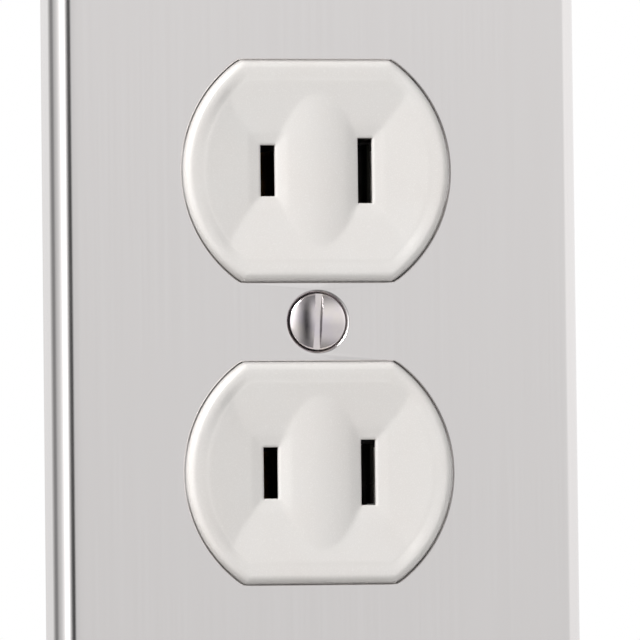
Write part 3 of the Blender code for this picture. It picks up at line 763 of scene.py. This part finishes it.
def face_grid(shell, z_middle):
    """The funnels' surface, open at the slots: rows of points, their levels, the slots' cells."""
    hot_half, neutral_half = SLOTS["hot"][2], SLOTS["neutral"][2]
    upper = [hot_half, neutral_half, neutral_half + LEAD_IN, INNER_HALF]
    levels = stations([-z for z in reversed(upper)] + upper, GRID_STEP)
    slot_in, slot_out = SLOT_X - SLOTS["hot"][1], SLOT_X + SLOTS["hot"][1]
    left = [-slot_out - LEAD_IN, -slot_out, -slot_in, -slot_in + LEAD_IN]
    middle = stations(left + [0.0] + [-x for x in reversed(left)], GRID_STEP)
    grid = []
    for z in levels:
        room = math.sqrt(INNER_RADIUS**2 - z * z) - middle[-1]
        right = [middle[-1] + room * i / SIDE_COLUMNS for i in range(1, SIDE_COLUMNS + 1)]
        across = [-x for x in reversed(right)] + middle + right
        grid.append(shell.loop([(x, FACE_FRONT + face_depth(x, z), z_middle + z) for x in across]))
    cells = {}
    for side, (sign, half_width, half_height) in SLOTS.items():
        rows = [i for i, z in enumerate(levels) if abs(z) <= half_height + TOUCH]
        columns = [i for i, x in enumerate(middle) if abs(x - sign * SLOT_X) <= half_width + TOUCH]
        cells[side] = (rows[0], rows[-1], SIDE_COLUMNS + columns[0], SIDE_COLUMNS + columns[-1])
    for i in range(len(grid) - 1):
        for j in range(len(grid[0]) - 1):
            if not any(a <= i < b and c <= j < d for a, b, c, d in cells.values()):
                shell.face((grid[i][j], grid[i][j + 1], grid[i + 1][j + 1], grid[i + 1][j]))
    return grid, levels, cells


def face_rim(shell, grid, levels, z_middle):
    """From the funnels' outer edge over the bead and down the side: the last loop."""
    angles = [math.asin(z / INNER_RADIUS) for z in levels]
    arc_shares = [(a - angles[0]) / (angles[-1] - angles[0]) for a in angles]
    top = [vert.co.x for vert in grid[-1]]
    flat_shares = [(top[-1] - x) / (top[-1] - top[0]) for x in reversed(top)]
    edge = [row[-1] for row in grid[:-1]] + list(reversed(grid[-1][1:]))
    edge += [row[0] for row in reversed(grid[1:])] + grid[0][:-1]
    falls = [vert.co.y - FACE_FRONT for vert in edge]
    steps = []  # inset, y, share of the fall from the front that the funnels' edge has
    for i in range(1, 11):
        share = i / 10
        inset = RIM_INSET + (RIM_CREST - RIM_INSET) * share
        steps.append((inset, FACE_FRONT, (0.5 + 0.5 * math.cos(math.pi * share)) ** 1.1))
    for i in range(7):
        a = math.radians(88) * i / 6
        steps.append((RIM_ROUND * (1 - math.sin(a)), FACE_FRONT + RIM_ROUND * (1 - math.cos(a)), 0))
    steps += [(FACE_FOOT, PLATE_FRONT, 0), (FACE_FOOT, LEDGE_Y, 0)]
    loops = [edge]
    for inset, y, fall_share in steps:
        corner = max(FACE_CORNER - inset, 0.02 * MM)
        outline = flattened_circle(
            FACE_RADIUS - inset, FACE_HALF_HEIGHT - inset, corner, arc_shares, flat_shares
        )
        points = [(x, y + fall * fall_share, z_middle + z) for (x, z), fall in zip(outline, falls)]
        loops.append(shell.loop(points))
    shell.bands(loops)
    return loops[-1]


def slot_tunnel(shell, grid, cell, centre, half_width, half_height):
    """A slot's thin lip, and the wider chamber behind it for the contact clip: the last loop."""
    low, high, first, last = cell
    mouth = [row[last] for row in grid[low:high]]
    mouth += [grid[high][j] for j in range(last, first, -1)]
    mouth += [grid[i][first] for i in range(high, low, -1)]
    mouth += grid[low][first:last]
    floor = FACE_FRONT + FACET_DEPTH + LEAD_IN_DEPTH
    ring = mouth
    # finish 1 is the slots' painted shade, near black, on the lip's inside and on the chamber
    for grow, y, finish in (
        (-SLOT_LIP * 0.3, floor + SLOT_LIP * 0.3, 0),
        (-SLOT_LIP * 0.9, floor + SLOT_LIP, 0),
        (-SLOT_LIP * 0.9, floor + LIP_THICKNESS, 1),
        (CHAMBER_MARGIN, floor + LIP_THICKNESS, 1),
        (CHAMBER_MARGIN, COVER_HIGH.y, 1),
    ):
        wide = (half_width + grow) / half_width
        tall = (half_height + grow) / half_height
        offsets = [vert.co - centre for vert in mouth]
        after = shell.loop([(centre.x + o.x * wide, y, centre.z + o.z * tall) for o in offsets])
        shell.band(ring, after, finish)
        ring = after
    return ring


def make_outlet_face(row, z_middle):
    shell = Shell()
    grid, levels, cells = face_grid(shell, z_middle)
    foot = face_rim(shell, grid, levels, z_middle)
    tunnels = []
    for side, (sign, half_width, half_height) in SLOTS.items():
        centre = Vector((sign * SLOT_X, 0, z_middle))
        tunnels.append(slot_tunnel(shell, grid, cells[side], centre, half_width, half_height))

    # back: a step in to the well that passes through the strap's window
    well = rounded_rectangle(*WELL_HALF, 0.5 * MM, 4)
    ends = [shell.loop(at_y(well, y, z=z_middle)) for y in (LEDGE_Y, COVER_HIGH.y)]
    shell.sheet([foot, ends[0]])
    shell.bands(ends)
    shell.sheet([ends[1], *tunnels])
    face = new_object("face", shell.mesh)
    # the second material is the slots' painted shade
    dress(face, f"{row}_outlet_face", "face_cover", [WHITE, SLOT_PAINTED_SHADE], 70)


def make_cover_body():
    """The flat part of the front moulding, behind the wall plate."""
    cover = prism(rounded_rectangle(*BODY_HALF, BODY_CORNER), COVER_FRONT, COVER_HIGH.y)
    channel = 12.8 * MM
    far = 2 * BODY_HALF[1]
    boss, hole, boss_floor = 5.2 * MM, 2.3 * MM, -3.2 * MM
    tools = [
        box((-channel, STRAP_LOW.y - GAP, -far), (channel, far, far)),
        turned([(boss, COVER_FRONT - MM), (boss, boss_floor), (hole, boss_floor), (hole, MM)]),
    ]
    for x, z in RIVET_PLACES:
        tools.append(prism(circle(RIVET_HOLE, 32), COVER_FRONT - MM, MM, x, z))
    window = rounded_rectangle(WELL_HALF[0] - 0.2 * MM, WELL_HALF[1] - 0.2 * MM, 0.5 * MM, 4)
    for z in (OUTLET_Z, -OUTLET_Z):
        tools.append(prism(window, COVER_FRONT - MM, MM, z=z))
    cut(cover, tools)
    soften(cover, 0.22 * MM)
    dress(cover, "cover_moulding", "face_cover", [WHITE])


# ---- base moulding

RECESS_INNER = 13.2 * MM
RECESS_BACK = 16.5 * MM
RECESS_HALF = 25.0 * MM
TERMINAL_Z = 11.5 * MM
TERMINAL_Y = 10.5 * MM
SIDE_PLATE_OUTSIDE = 14.3 * MM
BASE_ROUND = 0.9 * MM
PANEL_X = (2.6 * MM, 11.4 * MM)  # inner and outer side of the sunk panels on the back
PANEL_LEVELS = ((-28.5 * MM, -9.5 * MM), (-7.5 * MM, 7.5 * MM), (9.5 * MM, 28.5 * MM))
PIN_MARKS = [(0, 30.5), (0, -30.5)]  # where ejector pins pressed, in millimetres
PIN_MARKS += [(-14.6, 20), (14.6, 20), (-14.6, -20), (14.6, -20)]


def base_block():
    """The rear moulding's outside, rounded towards its back."""
    back = BASE_HIGH.y
    steps = [(0.0, BASE_LOW.y), (0.0, back - BASE_ROUND)]
    for i in range(1, 7):
        a = math.radians(90) * i / 6
        steps.append((BASE_ROUND * (1 - math.cos(a)), back - BASE_ROUND * (1 - math.sin(a))))
    shell = Shell()
    loops = []
    for inset, y in steps:
        outline = rounded_rectangle(BODY_HALF[0] - inset, BODY_HALF[1] - inset, BODY_CORNER - inset)
        loops.append(shell.loop(at_y(outline, y)))
    shell.bands(loops)
    shell.close(loops)
    return new_object("base", shell.mesh)


def make_body_base():
    """The deep rear moulding, with terminal recesses, rivet wells and a ribbed back."""
    back = BASE_HIGH.y
    base = base_block()
    tools = []
    for sign in (-1, 1):
        low_x, high_x = sorted((sign * RECESS_INNER, sign * 2 * BODY_HALF[0]))
        tools.append(box((low_x, -MM, -RECESS_HALF), (high_x, RECESS_BACK, RECESS_HALF)))
        low_x, high_x = sorted((sign * 3.7 * MM, sign * (RECESS_INNER + MM)))
        for z in (OUTLET_Z, -OUTLET_Z):
            tools.append(box((low_x, -MM, z - 5.1 * MM), (high_x, 16 * MM, z + 5.1 * MM)))
        for z in (TERMINAL_Z, -TERMINAL_Z):
            relief = turned([(2.7 * MM, -MM), (2.7 * MM, 6.4 * MM)], 40)
            turn_to_side(relief, sign)
            shift(relief, (sign * RECESS_INNER, TERMINAL_Y, z))
            tools.append(relief)
    tools.append(turned([(2.3 * MM, -MM), (2.3 * MM, 9.1 * MM)], 40))
    well, well_floor = 2.1 * MM, back - 1.5 * MM
    for x, z in RIVET_PLACES:
        steps = [(RIVET_HOLE, -MM), (RIVET_HOLE, well_floor), (well, well_floor), (well, back + MM)]
        tools.append(turned(steps, 40, (x, 0, z)))
    cut(base, tools)
    details = []
    for sign in (-1, 1):
        low_x, high_x = sorted(sign * x for x in PANEL_X)
        for low_z, high_z in PANEL_LEVELS:
            panel = rounded_rectangle((high_x - low_x) / 2, (high_z - low_z) / 2, 1.2 * MM, 6)
            middle = ((low_x + high_x) / 2, (low_z + high_z) / 2)
            details.append(prism(panel, back - 0.45 * MM, back + MM, *middle))
    for x, z in PIN_MARKS:
        details.append(prism(circle(1.25 * MM, 32), back - 0.12 * MM, back + MM, x * MM, z * MM))
    groove = 0.25 * MM
    for z in (32.6 * MM, -30.6 * MM):
        details.append(box((-9 * MM, back - groove, z), (9 * MM, back + MM, z + groove * 2)))
    cut(base, details)
    soften(base, 0.2 * MM)
    dress(base, "rear_moulding", "body_base", [BASE_PLASTIC])


# ---- strap

STRAP_SHEET = 1.2 * MM
MOUNTING_Z = 41.65 * MM
EAR_LOW = 46.8 * MM
EAR_HIGH = STRAP_HIGH.z
EAR_HOLE = (13.6 * MM, 49.9 * MM)
SCORE_X = 10.6 * MM  # score line where an ear snaps off
JOGGLE = 0.4 * MM  # how far the middle is set forward of the ears
JOGGLE_LOW, JOGGLE_HIGH = 44.6 * MM, 46.6 * MM


def strap_outline():
    """The strap's outline: a broad middle, a neck at each end, and ears."""
    ear_corner = 2.5 * MM
    ear_x = STRAP_HIGH.x
    neck = 10.5 * MM
    neck_corner = 1.2 * MM
    middle = 12.5 * MM
    half = [(middle, 36.4 * MM), (middle - 0.3 * MM, 37.2 * MM)]
    half += [(neck + 0.5 * MM, 38.8 * MM), (neck, 39.8 * MM)]
    half += arc(neck + neck_corner, EAR_LOW - neck_corner, neck_corner, math.pi, math.pi / 2, 5)
    half += arc(ear_x - ear_corner, EAR_LOW + ear_corner, ear_corner, -math.pi / 2, 0, 8)
    half += arc(ear_x - ear_corner, EAR_HIGH - ear_corner, ear_corner, 0, math.pi / 2, 8)
    upper = half + [(-x, z) for x, z in reversed(half)]
    return upper + [(-x, -z) for x, z in upper]


def make_strap():
    front = -STRAP_SHEET
    strap = prism(strap_outline(), front, 0.0)
    tools = []
    for z in (OUTLET_Z, -OUTLET_Z):
        window = rounded_rectangle(9.9 * MM, 7.7 * MM, 0.4 * MM, 4)
        tools.append(prism(window, front - MM, MM, z=z))
    slot = arc(1.9 * MM, 0, 2.05 * MM, -math.pi / 2, math.pi / 2, 20)
    slot += [(-x, -z) for x, z in slot]
    for sign in (-1, 1):
        tools.append(prism(slot, front - MM, MM, z=sign * MOUNTING_Z))
        for x in (-1, 1):
            for y in (front, 0.0):
                place = (x * SCORE_X, y, sign * EAR_HOLE[1])
                tools.append(v_bar(0.2178 * MM, 4 * MM, "Z", place))
            tools.append(prism(circle(MM, 28), front - MM, MM, x * EAR_HOLE[0], sign * EAR_HOLE[1]))
    tools.append(prism(circle(1.8 * MM, 40), front - MM, MM))
    cut(strap, tools)

    # the joggle: rows of points across each neck, then the middle moves forward
    with changing(strap.data) as mesh:
        for sign in (-1, 1):
            for level in spread(JOGGLE_LOW, JOGGLE_HIGH, 0.25 * MM):
                geometry = mesh.verts[:] + mesh.edges[:] + mesh.faces[:]
                plane = {"plane_co": (0, 0, sign * level), "plane_no": (0, 0, 1)}
                bmesh.ops.bisect_plane(mesh, geom=geometry, dist=SAME, **plane)
        for vert in mesh.verts:
            share = min(max((JOGGLE_HIGH - abs(vert.co.z)) / (JOGGLE_HIGH - JOGGLE_LOW), 0.0), 1.0)
            vert.co.y -= JOGGLE * share * share * (3 - 2 * share)
    soften(strap, 0.14 * MM)
    dress(strap, "yoke_strap", "mounting_strap", [ZINC])


# ---- screws

PITCH = 25.4 * MM / 32
THREAD_DEPTH = 0.42 * MM
SIX_32 = 1.70 * MM
EIGHT_32 = 2.05 * MM
DRIVE_SLOT = 0.9 * MM
PLATE_SCREW_TURN = math.radians(3)  # of its slot from upright
SHARP = 0.6  # radians between two faces that meet at a slot's rim


def thread(radius, start, end):
    """(profile, radius function) of a right-handed thread about +Y that fades in and out."""
    count = max(4, round((end - start) / (PITCH / 10)))
    profile = [(radius, start + (end - start) * i / count) for i in range(count + 1)]

    def radius_at(turn, y):
        phase = (y / PITCH - turn) % 1.0
        height = min(max(2.6 * (0.5 - abs(phase - 0.5)) - 0.15, 0.0), 1.0)
        fade = min((y - start) / PITCH, (end - y) / PITCH, 1.0)
        tip = max(0.0, 1 - (end - y) / (1.2 * PITCH)) * 0.45 * MM
        return radius - tip - THREAD_DEPTH * (1 - height) * max(fade, 0.0)

    return profile, radius_at


def screw_solid(head, shank, seat, length, sides=48):
    """A head profile that ends at its seat, and a threaded shank down to the screw's length."""
    shell = Shell()
    head_loops = shell.lathe(head, sides)
    profile, radius_at = thread(shank, seat, length)
    shank_loops = shell.lathe(profile, sides, radius_at)
    shell.band(head_loops[-1], shank_loops[0])
    shell.close(head_loops + shank_loops)
    return new_object("screw", shell.mesh)


def cut_drive_slot(screw, floor, top, reach, round_edge):
    """A driver slot along Z, whose upper edges are rounded."""
    half = DRIVE_SLOT / 2
    cut(screw, [box((-half, top - MM, -reach), (half, floor, reach))])
    with changing(screw.data) as mesh:
        rims = []
        for edge in mesh.edges:
            points = [vert.co for vert in edge.verts]
            on_wall = all(abs(abs(p.x) - half) < SAME for p in points)
            above = all(p.y < floor - 0.02 * MM for p in points)
            if on_wall and above and len(edge.link_faces) == 2 and edge.calc_face_angle() > SHARP:
                rims.append(edge)
        bmesh.ops.bevel(mesh, geom=rims, offset=round_edge, segments=3, profile=0.5, affect="EDGES")


def dome_profile(radius, rise, top, reach, steps):
    """(radius, y) pairs over a round dome, out to a share of its radius."""
    sphere = (radius**2 + rise**2) / (2 * rise)
    radii = [radius * i / steps * reach for i in range(1, steps + 1)]
    return [(r, top + sphere - math.sqrt(sphere**2 - r * r)) for r in radii]


def make_plate_screw():
    """Oval head: a dome over a countersunk cone."""
    head_radius, dome, cone = 3.62 * MM, 0.9 * MM, 1.75 * MM
    profile = dome_profile(head_radius, dome, -dome, 0.985, 18)
    profile.append((head_radius, 0.03 * MM))
    profile.append((head_radius - 0.04 * MM, 0.12 * MM))
    profile.append((SIX_32 - 0.1 * MM, cone))
    screw = screw_solid(profile, SIX_32, cone + 0.1 * MM, 12.7 * MM, 96)
    cut_drive_slot(screw, 0.05 * MM, -dome, 2 * head_radius, 0.05 * MM)
    spin(screw, PLATE_SCREW_TURN, "Y")
    shift(screw, (0, PLATE_FRONT, 0))
    dress(screw, "oval_head_screw", "plate_screw", [NICKEL], 45)


def pan_profile(radius, height, shank):
    """A low domed head with a flat seat, from its top to its seat."""
    profile = dome_profile(radius, height * 0.45, -height, 0.94, 12)
    profile += [(radius * 0.985, -height * 0.5), (radius, -height * 0.38), (radius, -0.12 * MM)]
    profile += [(radius - 0.1 * MM, 0.0), (shank, 0.0)]
    return profile


def make_mounting_screw(row, sign):
    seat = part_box(f"mounting_screw_{row}")[0].y + 1.9 * MM
    screw = screw_solid(pan_profile(3.4 * MM, 1.9 * MM, SIX_32), SIX_32, 0.5 * MM, 25.4 * MM)
    cut_drive_slot(screw, -1.0 * MM, -1.9 * MM, 7 * MM, 0.08 * MM)
    shift(screw, (0, seat, sign * MOUNTING_Z))
    dress(screw, f"box_screw_{row}", f"mounting_screw_{row}", [ZINC], 45)


def make_terminal_screw(side, sign, row, z):
    name = f"terminal_screw_{side}_{row}"
    screw = screw_solid(pan_profile(3.9 * MM, 2.0 * MM, EIGHT_32), EIGHT_32, 0.3 * MM, 6.4 * MM)
    cut_drive_slot(screw, -1.1 * MM, -2.0 * MM, 8 * MM, 0.08 * MM)
    turn_to_side(screw, sign)
    shift(screw, (sign * 15.9 * MM, TERMINAL_Y, z))
    material, slot = SIDE_METAL[side]
    dress(screw, f"binding_screw_{side}_{row}", name, [material], 45)


# ---- terminals, washers, rivets


def make_clamp_plate(side, sign, row, z):
    """A square wire clamp with grooves pressed into the face that grips the wire."""
    sheet = 1.0 * MM
    half = 4.2 * MM
    plate = prism(rounded_rectangle(half, half, 0.8 * MM, 6), 0.0, sheet)
    tools = [prism(circle(2.3 * MM, 40), -MM, sheet + MM)]
    for level in (-3.55 * MM, -2.9 * MM, 2.9 * MM, 3.55 * MM):
        tools.append(v_bar(0.1584 * MM, 3.3 * MM, "X", (0, sheet, level)))
    cut(plate, tools)
    soften(plate, 0.12 * MM)
    keep_result(plate)
    turn_to_side(plate, sign)
    shift(plate, (sign * (SIDE_PLATE_OUTSIDE + GAP + sheet), TERMINAL_Y, z))
    material, slot = SIDE_METAL[side]
    dress(plate, f"wire_clamp_{side}_{row}", f"clamp_plate_{side}_{row}", [material])


def make_retainer(row, sign):
    low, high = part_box(f"screw_retainer_{row}")
    washer = prism(circle(4.4 * MM, 64), low.y, high.y, z=sign * MOUNTING_Z)
    hole = prism(circle(1.8 * MM, 40), low.y - MM, high.y + MM, z=sign * MOUNTING_Z)
    slits = []
    for i in range(4):
        slit = box((1.2 * MM, low.y - MM, -0.12 * MM), (2.9 * MM, high.y + MM, 0.12 * MM))
        spin(slit, math.radians(-45 - 90 * i), "Y")
        shift(slit, (0, 0, sign * MOUNTING_Z))
        slits.append(slit)
    cut(washer, [hole, *slits])
    soften(washer, 0.08 * MM)
    dress(washer, f"fibre_washer_{row}", f"screw_retainer_{row}", [FIBRE])


def make_rivet(node):
    """A tubular rivet: a domed head in front, and a rolled end with an open bore at the back."""
    low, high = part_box(node)
    x, z = (low.x + high.x) / 2, (low.z + high.z) / 2
    head, shank, height = 1.8 * MM, 1.3 * MM, 0.6 * MM
    front, back = low.y, high.y
    slopes = (0.25, 0.55, 0.85, 1.15, 1.4)
    profile = [(head * math.sin(a), front + height * (1 - math.cos(a))) for a in slopes]
    profile += [(head, front + height * 0.92), (head - 0.04 * MM, front + height)]
    profile.append((shank, front + height))
    profile += [(shank, back - height), (head - 0.05 * MM, back - height)]
    roll = height / 2
    for i in range(9):
        a = math.radians(-90 + 180 * i / 8)
        profile.append((head - roll + roll * math.cos(a), back - roll + roll * math.sin(a)))
    profile += [(0.95 * MM, back - 0.25 * MM), (0.8 * MM, back - 0.7 * MM)]
    profile.append((0.8 * MM, back - 3 * MM))
    rivet = turned(profile, 40)
    shift(rivet, (x, 0, z))
    dress(rivet, node.replace("assembly", "tubular"), node, [ZINC])


def finish_contact_strip(side):
    """The stamped strip keeps its CAD mesh, with its edges rounded."""
    node = frame["nodes"][f"{side}_contact_strip"]
    material, slot = SIDE_METAL[side]
    node.data.materials.clear()
    node.data.materials.append(material)
    weld = node.modifiers.new("weld", "WELD")
    weld.merge_threshold = MICRON
    soften(node, 0.1 * MM)


make_wall_plate()
make_plate_screw()
make_outlet_face("upper", OUTLET_Z)
make_outlet_face("lower", -OUTLET_Z)
make_cover_body()
make_body_base()
make_strap()
for side, (sign, _, _) in SLOTS.items():
    finish_contact_strip(side)
    for row, z in (("upper", TERMINAL_Z), ("lower", -TERMINAL_Z)):
        make_clamp_plate(side, sign, row, z)
        make_terminal_screw(side, sign, row, z)
for row, sign in (("upper", 1), ("lower", -1)):
    make_mounting_screw(row, sign)
    make_retainer(row, sign)
for node in frame["nodes"]:
    if node.startswith("assembly_rivet"):
        make_rivet(node)


# ---- stage, light and camera

CAMERA_AZIMUTH = math.radians(-9.5)
CAMERA_ELEVATION = math.radians(-2.5)
CAMERA_ROLL = math.radians(-0.636)
CAMERA_DISTANCE = 0.95
CAMERA_TARGET = Vector((0.292 * MM, PLATE_FRONT, 0.202 * MM))
VIEW_WIDTH = 82.384 * MM  # what the picture spans at the target
KEY_COLOUR = (1.0, 0.985, 0.97)


def direction(azimuth, elevation):
    """Unit vector from the object: azimuth 0 is in front, positive to the right."""
    flat = math.cos(elevation)
    return Vector((math.sin(azimuth) * flat, -math.cos(azimuth) * flat, math.sin(elevation)))


def make_camera():
    """Looks at the target from the front, turned by its azimuth, elevation and roll."""
    data = bpy.data.cameras.new("camera")
    data.sensor_width = 36.0
    data.lens = data.sensor_width * CAMERA_DISTANCE / VIEW_WIDTH
    data.clip_start = 0.01
    data.clip_end = 100
    back = direction(CAMERA_AZIMUTH, CAMERA_ELEVATION)
    right = (-back).cross(Vector((0, 0, 1))).normalized()
    up = right.cross(-back)
    rolled_right = right * math.cos(CAMERA_ROLL) + up * math.sin(CAMERA_ROLL)
    rolled_up = up * math.cos(CAMERA_ROLL) - right * math.sin(CAMERA_ROLL)
    turn = Matrix((rolled_right, rolled_up, back)).transposed()
    camera = add_object("camera", data)
    camera.matrix_world = Matrix.Translation(CAMERA_TARGET + back * CAMERA_DISTANCE) @ turn.to_4x4()
    bpy.context.scene.camera = camera


def make_floor():
    shell = Shell()
    shell.sheet([shell.loop([(x, z, cad_low.z) for x, z in circle(12.0, 64)])])
    floor = new_object("floor", shell.mesh)
    floor.data.materials.append(studio_floor())


def make_light(name, azimuth, elevation, distance, size, watts, colour=(1, 1, 1)):
    """A lamp that faces the object, at an azimuth and an elevation in degrees."""
    data = bpy.data.lights.new(name, "AREA")
    data.shape = "RECTANGLE"
    data.size, data.size_y = size
    data.energy = watts
    data.color = colour
    light = add_object(name, data)
    away = direction(math.radians(azimuth), math.radians(elevation))
    light.location = away * distance
    light.rotation_mode = "QUATERNION"
    light.rotation_quaternion = away.to_track_quat("Z", "Y")


# Brightness of the studio's walls by direction, in degrees from the front, positive to the right.
# There is a bright strip at the left, and a dark gap beside the camera.
WALLS = (
    (-180, 0.9), (-145, 0.88), (-130, 0.5), (-118, 0.25), (-108, 0.25), (-97, 0.55), (-84, 0.7),
    (-70, 1.0), (-60, 1.75), (-45, 1.7), (-38, 1.2), (-33, 0.8), (-29, 0.5), (-25, 0.36),
    (-21, 0.2), (-17, 0.04), (-12, 0.04), (-8, 0.2), (-4, 0.5), (0, 0.68), (5, 0.8),
    (30, 0.79), (55, 0.8), (75, 1.0), (180, 0.95),
)
CEILING = 0.22  # brightness of steep directions, from 0.35 of height and in full at 0.85
GROUND = 0.75  # the walls are no brighter than this below the horizon
BACKGROUND = 1.0  # what the camera sees
RISE = (0.86, 1.14)  # factor on the walls' brightness, from -0.1 to 0.2 of height


def make_world():
    """What the metal reflects: WALLS, a little brighter upwards, with CEILING above and below.

    A direction's height runs from -1 straight down to 1 straight up. The camera sees a plain
    background instead.
    """
    world = bpy.data.worlds.new("studio")
    bpy.context.scene.world = world
    world.use_nodes = True
    nodes = Nodes(world.node_tree)
    brightest = max(value for _, value in WALLS)

    def grey(value):
        return (value / brightest,) * 3

    toward = nodes.split(nodes.add("ShaderNodeTexCoord").outputs["Generated"])
    angle = nodes.compute("ARCTAN2", toward["X"], nodes.compute("MULTIPLY", toward["Y"], -1))
    ramp = nodes.add("ShaderNodeValToRGB")
    ramp.color_ramp.interpolation = "EASE"
    stops = ramp.color_ramp.elements
    while len(stops) < len(WALLS):
        stops.new(0.5)
    for stop, (degrees, value) in zip(stops, WALLS):
        stop.position = (degrees + 180) / 360
        stop.color = (*grey(value), 1.0)
    nodes.set(ramp, "Fac", nodes.between(angle, 0, 1, -math.pi, math.pi))
    rise = nodes.between(toward["Z"], *RISE, -0.1, 0.2)
    rising = nodes.add("ShaderNodeVectorMath", operation="SCALE", Scale=rise)
    nodes.set(rising, 0, ramp.outputs["Color"])
    limited = nodes.add("ShaderNodeVectorMath", operation="MINIMUM")
    nodes.set(limited, 0, rising.outputs["Vector"])
    nodes.set(limited, 1, nodes.between(toward["Z"], GROUND / brightest, 1.2, -0.22, -0.14))
    height = nodes.compute("ABSOLUTE", toward["Z"])
    steepness = nodes.between(height, 0, 1, 0.35, 0.85, "SMOOTHSTEP")
    studio = nodes.mixed(steepness, limited.outputs["Vector"], grey(CEILING))
    is_camera = nodes.add("ShaderNodeLightPath").outputs["Is Camera Ray"]
    background = world.node_tree.nodes["Background"]
    seen = nodes.mixed(is_camera, studio, grey(BACKGROUND))
    nodes.fill(background, Color=seen, Strength=brightest)


make_floor()
make_world()
make_light("key", -60, 38, 1.6, (0.72, 0.72), 25.0, KEY_COLOUR)
make_light("rear", 165, 35, 1.3, (0.8, 0.8), 8.0)
make_camera()
bpy.context.scene.view_settings.view_transform = "Standard"
bpy.context.scene.view_settings.look = "None"
